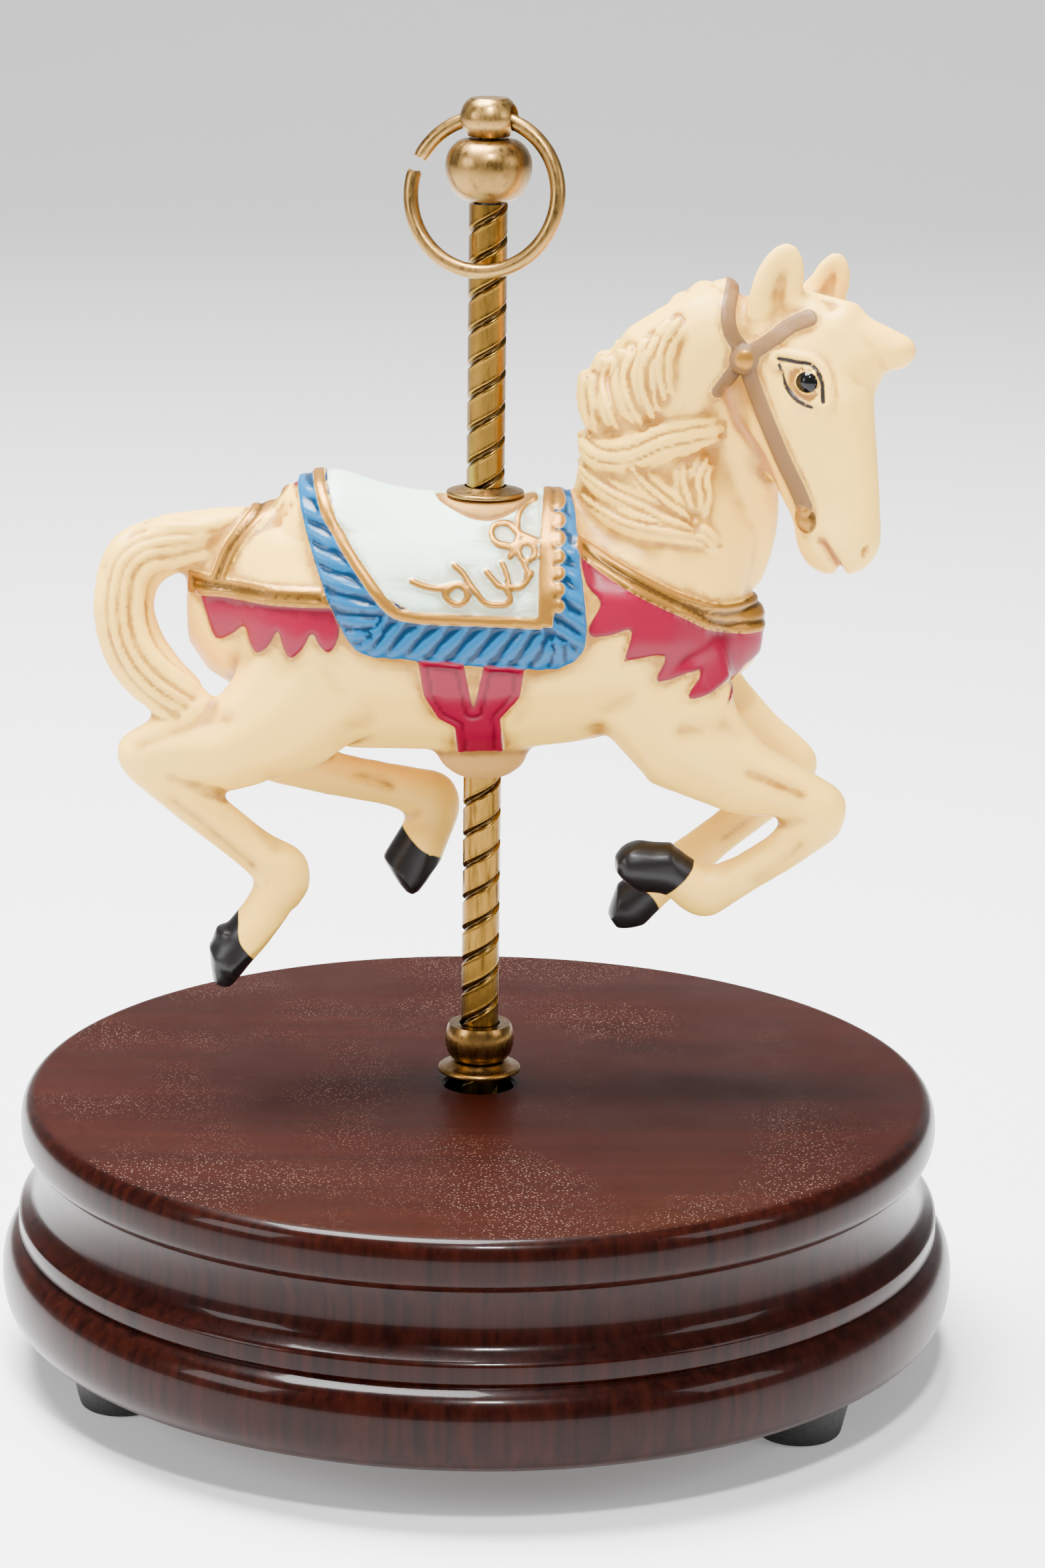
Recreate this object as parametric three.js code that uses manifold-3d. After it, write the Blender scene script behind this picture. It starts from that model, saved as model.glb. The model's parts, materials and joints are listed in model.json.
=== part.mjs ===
// Carousel music box: a glazed horse on a twisted brass pole, over a turned wooden base that
// hides an 18-note music movement. Millimetres, +Z up, the origin on the table under the pole.
// The horse faces +X; its near side faces -Y.
import * as THREE from 'three';
import { mergeVertices } from 'three/addons/utils/BufferGeometryUtils.js';
import Module from 'manifold-3d';

const wasm = await Module();
wasm.setup();

// ---- Driving dimensions ------------------------------------------------------------------
const SEAT_GAP = 0.3;            // between two pieces that rest on each other
const RUN_GAP = 0.3;             // between a turning piece and what it turns in

// Turned wooden base
const BASE_HEIGHT = 38;          // wood only, without the feet
const TOP_RADIUS = 75.6;         // flat top
const UPPER_BULL_RADIUS = 78.3;  // upper rounded edge
const COVE_RADIUS = 75.3;        // waist between the two rounded edges
const SHELF_RADIUS = 78.9;       // short cylinder under the cove
const LOWER_BULL_RADIUS = 81.8;  // lower rounded edge
const BOTTOM_RADIUS = 78.5;
const ROOF_THICKNESS = 8;
const CAVITY_RADIUS = 54;
const POLE_HOLE_RADIUS = 5.9;    // clear hole in the flat top, wider than the pole
const COVER_RADIUS = 57.7;
const COVER_THICKNESS = 1.9;
const KEY_HOLE_RADIUS = 15;

// Rubber feet
const FOOT_HEIGHT = 10;
const FOOT_TOP_RADIUS = 9.5;
const FOOT_BOTTOM_RADIUS = 7.2;
const FOOT_CIRCLE_RADIUS = 65.5;
const FOOT_ANGLES = [-35, 85, 205];
const FOOT_EDGE = 1;
const FOOT_RECESS_RADIUS = 4.2;
const FOOT_RECESS_DEPTH = 4;

// Pole and what is threaded on it
const POLE_RADIUS = 3.175;       // quarter-inch twisted brass tube
const POLE_WALL = 0.6;
const COLLAR_LIFT = 2.5;         // collar above the base
const COLLAR_RADIUS = 7.1;
const COLLAR_HEIGHT = 1.8;
const BEAD_RADIUS = 5.9;
const BEAD_HEIGHT = 6.3;
const UPPER_POLE_LENGTH = 54.6;
const ROD_RADIUS = 1.6;
const PIN_RADIUS = 1;            // thrust pins through the pole's foot
const PIN_REACH = 9.5;
const SPINDLE_SIDE = 2;
const SPINDLE_REACH = 18;        // spindle above the thrust pins
const SLEEVE_REACH = 9;

// Finial
const BALL_RADIUS = 7.1;
const BALL_HEIGHT = 10.3;
const CAP_RADIUS = 4.9;
const CAP_HEIGHT = 6.2;
const CAP_TOP_RADIUS = 3.1;

// Brass ring in the finial
const RING_RADIUS = 12.55;       // to the middle of the wire
const RING_WIRE_RADIUS = 1.25;
const RING_YAW = -18;            // the hole's direction, from +X
const RING_GAP_FROM = 154;       // the broken place, on the ring's own circle
const RING_GAP_TO = 165;

// Music movement
const PLATE_THICKNESS = 2;
const BARREL_RADIUS = 12.5;
const BARREL_HEIGHT = 8.5;
const BARREL_WALL = 1;
const FACE_TEETH = 40;
const FACE_TOOTH_INNER = BARREL_RADIUS + 0.9;
const FACE_TOOTH_OUTER = FACE_TOOTH_INNER + 3.6;
const FACE_TOOTH_HEIGHT = 1.4;
const PINION_TEETH = 10;
const CYLINDER_RADIUS = 6;
const CYLINDER_LENGTH = 18;
const NOTE_COUNT = 18;
const WHEEL_TEETH = 32;
const WHEEL_MODULE = 0.5;
const FLY_PINION_TEETH = 8;
const WORM_WHEEL_TEETH = 15;
const WORM_WHEEL_RADIUS = 5;
const FAN_RADIUS = 4.5;
const ARBOR_RADIUS = 1;
const WINDING_ARBOR_RADIUS = 2;
const RATCHET_TEETH = 24;
const RATCHET_RADIUS = 7;
const RATCHET_ROOT = 6;
const KEY_SPAN = 26;
const KEY_WING_THICKNESS = 2;
const POST_RADIUS = 3.5;
const SCREW_RADIUS = 1.3;
const SCREW_HEAD_RADIUS = 2.6;

// ---- Heights that follow from them -------------------------------------------------------
const BASE_TOP = FOOT_HEIGHT + BASE_HEIGHT;
const ROOF_UNDERSIDE = BASE_TOP - ROOF_THICKNESS;
const COVER_BOTTOM = FOOT_HEIGHT + SEAT_GAP;
const COVER_TOP = COVER_BOTTOM + COVER_THICKNESS;
const RATCHET_BOTTOM = COVER_TOP + SEAT_GAP;
const RATCHET_TOP = RATCHET_BOTTOM + 1.2;
const PLATE_BOTTOM = RATCHET_TOP + SEAT_GAP;
const PLATE_TOP = PLATE_BOTTOM + PLATE_THICKNESS;
const BARREL_BOTTOM = PLATE_TOP + 0.5;
const BARREL_FLANGE_TOP = BARREL_BOTTOM + 1.8;
const FACE_TOOTH_TOP = BARREL_FLANGE_TOP + FACE_TOOTH_HEIGHT;
const BARREL_TOP = BARREL_BOTTOM + BARREL_HEIGHT;
const LID_TOP = BARREL_TOP + SEAT_GAP + 1.2;
const FACE_PITCH = 2 * Math.PI * ((FACE_TOOTH_INNER + FACE_TOOTH_OUTER) / 2) / FACE_TEETH;
const PINION_RADIUS = PINION_TEETH * FACE_PITCH / (2 * Math.PI);
const PINION_ADDENDUM = 0.6;
const PINION_DEDENDUM = 0.95;
const TRAIN_HEIGHT = BARREL_FLANGE_TOP + RUN_GAP + PINION_RADIUS + PINION_ADDENDUM;
const SPINDLE_FOOT_TOP = LID_TOP + SEAT_GAP + 1.4;
const BEARING_TOP = ROOF_UNDERSIDE - SEAT_GAP;
const PIN_HEIGHT = BEARING_TOP - SEAT_GAP - PIN_RADIUS;
const RACE_TOP = PIN_HEIGHT - PIN_RADIUS - SEAT_GAP;
const RACE_BOTTOM = RACE_TOP - 2;
const JOURNAL_BOTTOM = SPINDLE_FOOT_TOP + 2;
const POLE_BOTTOM = JOURNAL_BOTTOM + 1;

const COLLAR_BOTTOM = BASE_TOP + COLLAR_LIFT;
const BEAD_BOTTOM = COLLAR_BOTTOM + COLLAR_HEIGHT + SEAT_GAP;
const POLE_BORE = POLE_RADIUS + SEAT_GAP;
const TUBE_INNER = POLE_RADIUS - POLE_WALL;
const ROD_BORE = ROD_RADIUS + SEAT_GAP;

// Where the horse's two bosses meet the pole, above the base's flat top
const BELLY_BOSS_BOTTOM = 54.6;
const SADDLE_BOSS_TOP = 102.4;
const COUNTERBORE_DEPTH = 6;
const FLANGE_BOTTOM = BASE_TOP + SADDLE_BOSS_TOP + SEAT_GAP;
const UPPER_POLE_TOP = FLANGE_BOTTOM - SEAT_GAP - COUNTERBORE_DEPTH + UPPER_POLE_LENGTH;
const BALL_BOTTOM = UPPER_POLE_TOP + SEAT_GAP;
const CAP_BOTTOM = BALL_BOTTOM + BALL_HEIGHT + SEAT_GAP;
const RING_HEIGHT = CAP_BOTTOM + 3.1;   // the ring's hole, through the middle of the cap
const RING_LEAN = Math.asin((POLE_RADIUS + RING_WIRE_RADIUS + SEAT_GAP) / (2 * RING_RADIUS));

// ---- Colours -----------------------------------------------------------------------------
const paint = (color, roughness, metalness) =>
  new THREE.MeshStandardMaterial({ color, roughness, metalness });
const WOOD = paint(0x3a1512, 0.22, 0);
const HARDBOARD = paint(0x4b3524, 0.8, 0);
const RUBBER = paint(0x111111, 0.8, 0);
const IVORY = paint(0xe6dcc6, 0.45, 0);
const ANTIQUE_BRASS = paint(0x9c7c45, 0.38, 1);
const BRIGHT_BRASS = paint(0xc9a050, 0.3, 1);
const DARK_BRASS = paint(0x6e5530, 0.3, 1);
const STEEL = paint(0x9a9a98, 0.4, 1);
const CAST_ZINC = paint(0x8c8c8a, 0.55, 1);

// ---- Solids ------------------------------------------------------------------------------
const radians = THREE.MathUtils.degToRad;

// A closed geometry with shared corners, no slivers, and its faces pointing out.
function closed(geometry) {
  const bare = geometry.clone();
  bare.deleteAttribute('normal');
  bare.deleteAttribute('uv');
  const merged = mergeVertices(bare, 1e-4);
  const corners = merged.index.array;
  const kept = [];
  const a = new THREE.Vector3();
  const b = new THREE.Vector3();
  const c = new THREE.Vector3();
  let volume = 0;
  for (let i = 0; i < corners.length; i += 3) {
    const [p, q, r] = [corners[i], corners[i + 1], corners[i + 2]];
    if (p === q || q === r || r === p) continue;
    kept.push(p, q, r);
    a.fromBufferAttribute(merged.attributes.position, p);
    b.fromBufferAttribute(merged.attributes.position, q);
    c.fromBufferAttribute(merged.attributes.position, r);
    volume += a.dot(b.cross(c));
  }
  if (volume < 0) kept.reverse();
  merged.setIndex(kept);
  return merged;
}

function solid(geometry) {
  const shape = closed(geometry);
  return new wasm.Manifold(new wasm.Mesh({
    numProp: 3,
    vertProperties: new Float32Array(shape.attributes.position.array),
    triVerts: new Uint32Array(shape.index.array),
  }));
}

function surfaceOf(manifold) {
  const mesh = manifold.getMesh();
  const geometry = new THREE.BufferGeometry();
  geometry.setAttribute('position', new THREE.BufferAttribute(mesh.vertProperties, 3));
  geometry.setIndex(new THREE.BufferAttribute(mesh.triVerts, 1));
  geometry.computeVertexNormals();
  return geometry;
}

const join = (...parts) => parts.reduce((whole, part) => whole.add(part));
const cut = (whole, ...tools) => tools.reduce((left, tool) => left.subtract(tool), whole);

// A solid of revolution about Z, from [radius, height] points that close on themselves.
function turned(profile, sides = 24) {
  const points = profile.map(([radius, height]) => new THREE.Vector2(radius, height));
  points.push(points[0].clone());
  return new THREE.LatheGeometry(points, sides).rotateX(Math.PI / 2);
}

const disc = (radius, low, high, sides = 20) =>
  turned([[0, low], [radius, low], [radius, high], [0, high]], sides);
const ring = (inner, outer, low, high, sides = 24) =>
  turned([[inner, low], [outer, low], [outer, high], [inner, high]], sides);
const block = (width, depth, low, high) =>
  new THREE.BoxGeometry(width, depth, high - low).translate(0, 0, (low + high) / 2);

// A rod along X.
function rodAlongX(radius, from, to, sides = 16) {
  const rod = new THREE.CylinderGeometry(radius, radius, to - from, sides);
  return rod.rotateZ(Math.PI / 2).translate((from + to) / 2, 0, 0);
}

// A flat outline in the XY plane, raised from one height to another.
function raised(points, low, high) {
  const shape = new THREE.Shape(points.map(([x, y]) => new THREE.Vector2(x, y)));
  const geometry = new THREE.ExtrudeGeometry(shape, { depth: high - low, bevelEnabled: false });
  return geometry.translate(0, 0, low);
}

const polar = (radius, degrees) =>
  [radius * Math.cos(radians(degrees)), radius * Math.sin(radians(degrees))];

// A spur gear's outline with trapezoid teeth; the first tooth (or gap) is centred on +X.
function gearOutline(teeth, root, tip, rootShare, tipShare, startsWithGap = false) {
  const step = 360 / teeth;
  const outline = [];
  for (let i = 0; i < teeth; i++) {
    const middle = (i + (startsWithGap ? 0.5 : 0)) * step;
    outline.push(polar(root, middle - step * rootShare / 2));
    outline.push(polar(tip, middle - step * tipShare / 2));
    outline.push(polar(tip, middle + step * tipShare / 2));
    outline.push(polar(root, middle + step * rootShare / 2));
  }
  return outline;
}

// Triangles over a grid of rings, each ring a loop of points, closed by a fan at each end.
function skinned(rings) {
  const count = rings[0].length;
  const corners = rings.flat();
  const triangles = [];
  for (let i = 0; i + 1 < rings.length; i++) {
    for (let j = 0; j < count; j++) {
      const next = (j + 1) % count;
      const [a, b] = [i * count + j, i * count + next];
      triangles.push(a, b, b + count, a, b + count, a + count);
    }
  }
  for (const [index, flip] of [[0, true], [rings.length - 1, false]]) {
    const middle = new THREE.Vector3();
    rings[index].forEach((point) => middle.addScaledVector(point, 1 / count));
    corners.push(middle);
    for (let j = 0; j < count; j++) {
      const [a, b] = [index * count + j, index * count + (j + 1) % count];
      triangles.push(corners.length - 1, flip ? b : a, flip ? a : b);
    }
  }
  const geometry = new THREE.BufferGeometry().setFromPoints(corners);
  geometry.setIndex(triangles);
  return geometry;
}

// ---- Placing a piece in the scene --------------------------------------------------------
function piece(name, shape, material, place = [0, 0, 0]) {
  const geometry = shape.isBufferGeometry ? closed(shape) : surfaceOf(shape);
  geometry.computeVertexNormals();
  const mesh = new THREE.Mesh(geometry, material);
  mesh.name = name;
  mesh.position.set(...place);
  return mesh;
}

function grouped(...children) {
  const group = new THREE.Group();
  group.add(...children.flat());
  return group;
}

// ---- Wooden base -------------------------------------------------------------------------
const POST_PLACES = [[-16, 18], [-16, -18], [46, 15]];
const COVER_SCREW_RADIUS = (CAVITY_RADIUS + COVER_RADIUS) / 2;
const COVER_SCREW_PLACES = [25, 145, 265].map((angle) => polar(COVER_SCREW_RADIUS, angle));
const BEARING_SCREW_PLACES = [45, 165, 285].map((angle) => polar(14.6, angle));
const FOOT_PLACES = FOOT_ANGLES.map((angle) => polar(FOOT_CIRCLE_RADIUS, angle));

// The round top board's outline, from the pole hole out over its rounded edge.
function topOutline() {
  const top = BASE_TOP;
  const path = new THREE.Path();
  path.moveTo(POLE_HOLE_RADIUS, top);
  path.lineTo(TOP_RADIUS, top);
  path.quadraticCurveTo(UPPER_BULL_RADIUS, top - 0.4, UPPER_BULL_RADIUS, top - 4.8);
  path.quadraticCurveTo(UPPER_BULL_RADIUS, top - 7.2, UPPER_BULL_RADIUS - 1.3, ROOF_UNDERSIDE);
  path.lineTo(POLE_HOLE_RADIUS, ROOF_UNDERSIDE);
  return path.getPoints(3).map((point) => [point.x, point.y]);
}

// The turned ring's outline, from the glue line down the cove and the lower rounded edge.
function ringOutline() {
  const top = BASE_TOP;
  const glueLine = ROOF_UNDERSIDE - SEAT_GAP;
  const path = new THREE.Path();
  path.moveTo(CAVITY_RADIUS, glueLine);
  path.lineTo(COVE_RADIUS + 1, glueLine);
  path.quadraticCurveTo(COVE_RADIUS - 0.9, top - 13.5, COVE_RADIUS + 1, top - 18);
  path.quadraticCurveTo(SHELF_RADIUS - 1.2, top - 19.4, SHELF_RADIUS, top - 20.4);
  path.lineTo(SHELF_RADIUS, top - 23.4);
  path.lineTo(SHELF_RADIUS - 0.5, top - 23.9);
  path.lineTo(SHELF_RADIUS, top - 24.4);
  path.quadraticCurveTo(LOWER_BULL_RADIUS, top - 26, LOWER_BULL_RADIUS, top - 31.4);
  path.quadraticCurveTo(LOWER_BULL_RADIUS, top - 36.4, BOTTOM_RADIUS, FOOT_HEIGHT);
  path.lineTo(COVER_RADIUS + SEAT_GAP, FOOT_HEIGHT);
  path.lineTo(COVER_RADIUS + SEAT_GAP, COVER_TOP + SEAT_GAP);
  path.lineTo(CAVITY_RADIUS, COVER_TOP + SEAT_GAP);
  return path.getPoints(3).map((point) => [point.x, point.y]);
}

// A screw hole from below, with room round the shank.
function screwHole([x, y], low, high, radius = SCREW_RADIUS) {
  return solid(disc(radius + SEAT_GAP, low, high, 8).translate(x, y, 0));
}

function woodTop() {
  const posts = POST_PLACES.map((place) => screwHole(place, ROOF_UNDERSIDE - 1, ROOF_UNDERSIDE + 5));
  const bearings = BEARING_SCREW_PLACES.map((place) =>
    screwHole(place, ROOF_UNDERSIDE - 1, ROOF_UNDERSIDE + 5, 0.9));
  return cut(solid(turned(topOutline(), 48)), ...posts, ...bearings);
}

function woodRing() {
  const feet = FOOT_PLACES.map((place) => screwHole(place, FOOT_HEIGHT - 1, FOOT_HEIGHT + 10));
  const covers = COVER_SCREW_PLACES.map((place) => screwHole(place, COVER_TOP, COVER_TOP + 8, 0.9));
  return cut(solid(turned(ringOutline(), 48)), ...feet, ...covers);
}

function bottomCover() {
  const plate = solid(ring(KEY_HOLE_RADIUS, COVER_RADIUS, COVER_BOTTOM, COVER_TOP, 40));
  const holes = COVER_SCREW_PLACES.map((place) =>
    screwHole(place, COVER_BOTTOM - 1, COVER_TOP + 1, 0.9));
  return cut(plate, ...holes);
}

// A pan-head screw standing up from its head.
function screw(shankRadius, headRadius, headHeight, length) {
  return turned([[0, 0], [headRadius * 0.8, 0], [headRadius, headHeight * 0.5],
    [headRadius, headHeight], [shankRadius, headHeight], [shankRadius, length],
    [0, length + shankRadius]], 8);
}

// A tapered rubber bumper, standing on the table, with a recess for its screw.
function rubberFoot() {
  const top = FOOT_HEIGHT - SEAT_GAP;
  const hole = SCREW_RADIUS + SEAT_GAP;
  return turned([[FOOT_RECESS_RADIUS, 0], [FOOT_BOTTOM_RADIUS - FOOT_EDGE, 0],
    [FOOT_BOTTOM_RADIUS - FOOT_EDGE * 0.3, FOOT_EDGE * 0.3], [FOOT_BOTTOM_RADIUS, FOOT_EDGE],
    [FOOT_TOP_RADIUS, top], [hole, top], [hole, FOOT_RECESS_DEPTH],
    [FOOT_RECESS_RADIUS, FOOT_RECESS_DEPTH]], 20);
}

function baseGroup() {
  const parts = [
    piece('wood_top', woodTop(), WOOD),
    piece('wood_ring', woodRing(), WOOD),
    piece('bottom_cover', bottomCover(), HARDBOARD),
  ];
  FOOT_PLACES.forEach(([x, y], i) => {
    const headBottom = FOOT_RECESS_DEPTH - SEAT_GAP - 1.5;
    parts.push(piece(`foot_${i + 1}`, rubberFoot(), RUBBER, [x, y, 0]));
    const footScrew = screw(SCREW_RADIUS, 3.4, 1.5, 15);
    parts.push(piece(`foot_screw_${i + 1}`, footScrew, STEEL, [x, y, headBottom]));
  });
  COVER_SCREW_PLACES.forEach(([x, y], i) => {
    const coverScrew = screw(0.9, 1.6, 0.9, 9);
    const place = [x, y, COVER_BOTTOM - SEAT_GAP - 0.9];
    parts.push(piece(`cover_screw_${i + 1}`, coverScrew, STEEL, place));
  });
  return grouped(parts);
}

// ---- Bearing under the roof --------------------------------------------------------------
const JOURNAL_RADIUS = POLE_RADIUS + RUN_GAP;
const JOURNAL_WALL = 2.2;
const BEARING_WALL_INNER = PIN_REACH + 1;
const BEARING_WALL_OUTER = BEARING_WALL_INNER + 1.8;
const BEARING_FLANGE_RADIUS = 17;
const BEARING_FLANGE_THICKNESS = 1.5;

// A cup screwed up to the roof. The pole turns in its journal, and the pole's two thrust pins
// stand on its flat race and hold the pole in when the box is turned over.
function poleBearing() {
  const flangeBottom = BEARING_TOP - BEARING_FLANGE_THICKNESS;
  const cup = solid(turned([[JOURNAL_RADIUS, JOURNAL_BOTTOM],
    [JOURNAL_RADIUS + JOURNAL_WALL, JOURNAL_BOTTOM], [JOURNAL_RADIUS + JOURNAL_WALL, RACE_BOTTOM],
    [BEARING_WALL_OUTER, RACE_BOTTOM], [BEARING_WALL_OUTER, flangeBottom],
    [BEARING_FLANGE_RADIUS, flangeBottom], [BEARING_FLANGE_RADIUS, BEARING_TOP],
    [BEARING_WALL_INNER, BEARING_TOP], [BEARING_WALL_INNER, RACE_TOP],
    [JOURNAL_RADIUS, RACE_TOP]], 40));
  const holes = BEARING_SCREW_PLACES.map((place) =>
    screwHole(place, flangeBottom - 1, BEARING_TOP + 1, 0.9));
  return cut(cup, ...holes);
}

function bearingGroup() {
  const screws = BEARING_SCREW_PLACES.map(([x, y], i) => {
    const place = [x, y, BEARING_TOP - BEARING_FLANGE_THICKNESS - SEAT_GAP - 0.9];
    return piece(`bearing_screw_${i + 1}`, screw(0.9, 1.7, 0.9, 6), STEEL, place);
  });
  return grouped(piece('pole_bearing', poleBearing(), CAST_ZINC), screws);
}

// ---- Music movement ----------------------------------------------------------------------
const PINION_FROM = FACE_TOOTH_INNER + 0.1;
const PINION_TO = FACE_TOOTH_OUTER - 0.3;
const INNER_LUG = FACE_TOOTH_OUTER + 0.6;
const LUG_THICKNESS = 1.4;
const CYLINDER_FROM = INNER_LUG + LUG_THICKNESS + 1;
const CYLINDER_TO = CYLINDER_FROM + CYLINDER_LENGTH;
const COMB_BOTTOM = TRAIN_HEIGHT - 0.5;
const COMB_SCREW_PLACES = [0.2, 0.8].map((share) => [CYLINDER_FROM + CYLINDER_LENGTH * share, 21.3]);
const WHEEL_FROM = CYLINDER_TO + 2.3;
const WHEEL_WIDTH = 1.2;
const WORM_X = WHEEL_FROM + WHEEL_WIDTH + 1.9;
const WORM_WHEEL_WIDTH = 1;
const OUTER_LUG = WORM_X + 2.6;
const FLY_SHAFT_Y = -(WHEEL_TEETH + FLY_PINION_TEETH) * WHEEL_MODULE / 2;
const WORM_PITCH = 2 * Math.PI * WORM_WHEEL_RADIUS / WORM_WHEEL_TEETH;
const WORM_CORE = 1.1;
const WORM_OUTER = 2.2;
const WORM_Y = FLY_SHAFT_Y - WORM_WHEEL_RADIUS - 0.5 - 0.4 - WORM_CORE;
const FAN_BOTTOM = TRAIN_HEIGHT + 5.5;
const FAN_TOP = FAN_BOTTOM + 3;
const BRIDGE_ARM_BOTTOM = FAN_TOP + 0.6;
const CLICK_PIVOT = polar(10.5, -140);

function lug(x, yLow, yHigh, top) {
  const width = yHigh - yLow;
  return solid(block(LUG_THICKNESS, width, PLATE_BOTTOM + 0.5, top)
    .translate(x + LUG_THICKNESS / 2, (yLow + yHigh) / 2, 0));
}

// A bearing hole along X through a lug.
function bearing(y, radius = ARBOR_RADIUS) {
  return solid(rodAlongX(radius + RUN_GAP, INNER_LUG - 1, OUTER_LUG + LUG_THICKNESS + 1, 12)
    .translate(0, y, TRAIN_HEIGHT));
}

// The cast frame: a flat plate with standing lugs for the two lying shafts.
function bedplate() {
  const outline = [[-20, -22], [30, -23], [40, WORM_Y - 8.5], [46, WORM_Y - 7], [50, -8], [50, 15],
    [46, 20], [36, 28], [16, 28], [-20, 22]];
  const plate = solid(raised(outline, PLATE_BOTTOM, PLATE_TOP));
  const lugTop = TRAIN_HEIGHT + 3;
  const lugs = [
    lug(INNER_LUG, -4, 4, lugTop),
    lug(OUTER_LUG, FLY_SHAFT_Y - 3, 4, lugTop),
    lug(CYLINDER_TO + 0.6, FLY_SHAFT_Y - 3, FLY_SHAFT_Y + 2.7, lugTop),
  ];
  const wheelWindow = block(WHEEL_WIDTH + 1, WHEEL_TEETH * WHEEL_MODULE * 0.7, PLATE_BOTTOM - 1,
    PLATE_TOP + 1).translate(WHEEL_FROM + WHEEL_WIDTH / 2, 0, 0);
  const holes = [
    solid(wheelWindow),
    solid(disc(WINDING_ARBOR_RADIUS + RUN_GAP, PLATE_BOTTOM - 1, PLATE_TOP + 1, 20)),
    solid(disc(0.9, PLATE_BOTTOM - 1, PLATE_TOP + 1, 12).translate(WORM_X, WORM_Y, 0)),
    solid(disc(1.2, PLATE_BOTTOM - 1, PLATE_TOP + 1, 12).translate(...CLICK_PIVOT, 0)),
    ...POST_PLACES.map((place) => screwHole(place, PLATE_BOTTOM - 1, PLATE_TOP + 1)),
    bearing(0),
    bearing(FLY_SHAFT_Y),
  ];
  return cut(join(plate, ...lugs), ...holes);
}

// The spring barrel: an open cup whose flange carries face teeth that drive the pinned cylinder.
function mainspringBarrel() {
  const bore = WINDING_ARBOR_RADIUS + RUN_GAP;
  const inner = BARREL_RADIUS - BARREL_WALL;
  const cup = solid(turned([[bore, BARREL_BOTTOM], [FACE_TOOTH_OUTER + 0.2, BARREL_BOTTOM],
    [FACE_TOOTH_OUTER + 0.2, BARREL_FLANGE_TOP], [BARREL_RADIUS, BARREL_FLANGE_TOP],
    [BARREL_RADIUS, BARREL_TOP], [inner, BARREL_TOP], [inner, BARREL_BOTTOM + 1.5],
    [bore, BARREL_BOTTOM + 1.5]], 40));
  const length = FACE_TOOTH_OUTER - FACE_TOOTH_INNER;
  const teeth = [];
  for (let i = 0; i < FACE_TEETH; i++) {
    const tooth = block(length, 0.8, BARREL_FLANGE_TOP - 0.4, FACE_TOOTH_TOP);
    tooth.translate(FACE_TOOTH_INNER + length / 2, 0, 0);
    teeth.push(solid(tooth.rotateZ(2 * Math.PI * i / FACE_TEETH)));
  }
  return join(cup, ...teeth);
}

// The coiled mainspring, from the arbor out to the barrel wall.
function mainspring() {
  const turns = 4;
  const inner = WINDING_ARBOR_RADIUS + 0.8;
  const outer = BARREL_RADIUS - BARREL_WALL - 0.8;
  const side = (offset) => {
    const points = [];
    for (let i = 0; i <= 14 * turns; i++) {
      const along = i / (14 * turns);
      points.push(polar(inner + (outer - inner) * along + offset, 360 * turns * along));
    }
    return points;
  };
  const outline = [...side(0.3), ...side(-0.3).reverse()];
  return raised(outline, BARREL_BOTTOM + 1.8, BARREL_TOP - 0.5);
}

function driveSpindle() {
  const foot = solid(disc(3.4, LID_TOP + SEAT_GAP, SPINDLE_FOOT_TOP, 24));
  const bar = block(SPINDLE_SIDE, SPINDLE_SIDE, SPINDLE_FOOT_TOP - 0.5, PIN_HEIGHT + SPINDLE_REACH);
  return join(foot, solid(bar));
}

function ratchetWheel() {
  const outline = [];
  const step = 360 / RATCHET_TEETH;
  for (let i = 0; i < RATCHET_TEETH; i++) {
    outline.push(polar(RATCHET_ROOT, i * step));
    outline.push(polar(RATCHET_RADIUS, i * step + 0.2));
  }
  const wheel = solid(raised(outline, RATCHET_BOTTOM, RATCHET_TOP));
  const bore = disc(WINDING_ARBOR_RADIUS + SEAT_GAP, RATCHET_BOTTOM - 1, RATCHET_TOP + 1, 20);
  return cut(wheel, solid(bore));
}

// A flat winding key with a tall hub, gripped under the base between the feet.
function windingKey() {
  const bladeTop = FOOT_HEIGHT - 1.8;
  const hubTop = COVER_TOP - 0.1;
  const blade = solid(block(KEY_SPAN, KEY_WING_THICKNESS, 1.8, bladeTop));
  const hub = solid(disc(WINDING_ARBOR_RADIUS + SEAT_GAP + 1, bladeTop - 2.4, hubTop, 24));
  const bore = disc(WINDING_ARBOR_RADIUS + SEAT_GAP, bladeTop - 1.9, hubTop + 1, 20);
  const rounding = new THREE.CylinderGeometry(KEY_SPAN / 2, KEY_SPAN / 2, 6, 48);
  const outline = solid(rounding.translate(0, 0, bladeTop - 7));
  return cut(join(blade.intersect(outline), hub), solid(bore));
}

// The pawl that stops the ratchet wheel from running back, with its pivot standing up.
function click() {
  const tip = polar(6.55, -93.2);
  const arm = [tip, polar(8.1, -93), polar(11.9, -134), CLICK_PIVOT, polar(8.9, -133),
    polar(7.7, -104)];
  const body = solid(raised(arm, RATCHET_BOTTOM, RATCHET_TOP));
  const boss = solid(disc(1.9, RATCHET_BOTTOM, RATCHET_TOP, 20).translate(...CLICK_PIVOT, 0));
  const pivot = solid(disc(0.9, RATCHET_TOP - 0.5, PLATE_TOP - 0.2, 12)
    .translate(...CLICK_PIVOT, 0));
  return join(body, boss, pivot);
}

// An upright gear laid along X, so that its first tooth or gap points down.
function gearAlongX(outline, from, to, boreRadius) {
  const wheel = solid(raised(outline, 0, to - from));
  const bore = disc(boreRadius, -1, to - from + 1, 12);
  const laid = surfaceOf(cut(wheel, solid(bore)));
  return laid.rotateY(Math.PI / 2).translate(from, 0, TRAIN_HEIGHT);
}

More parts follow.
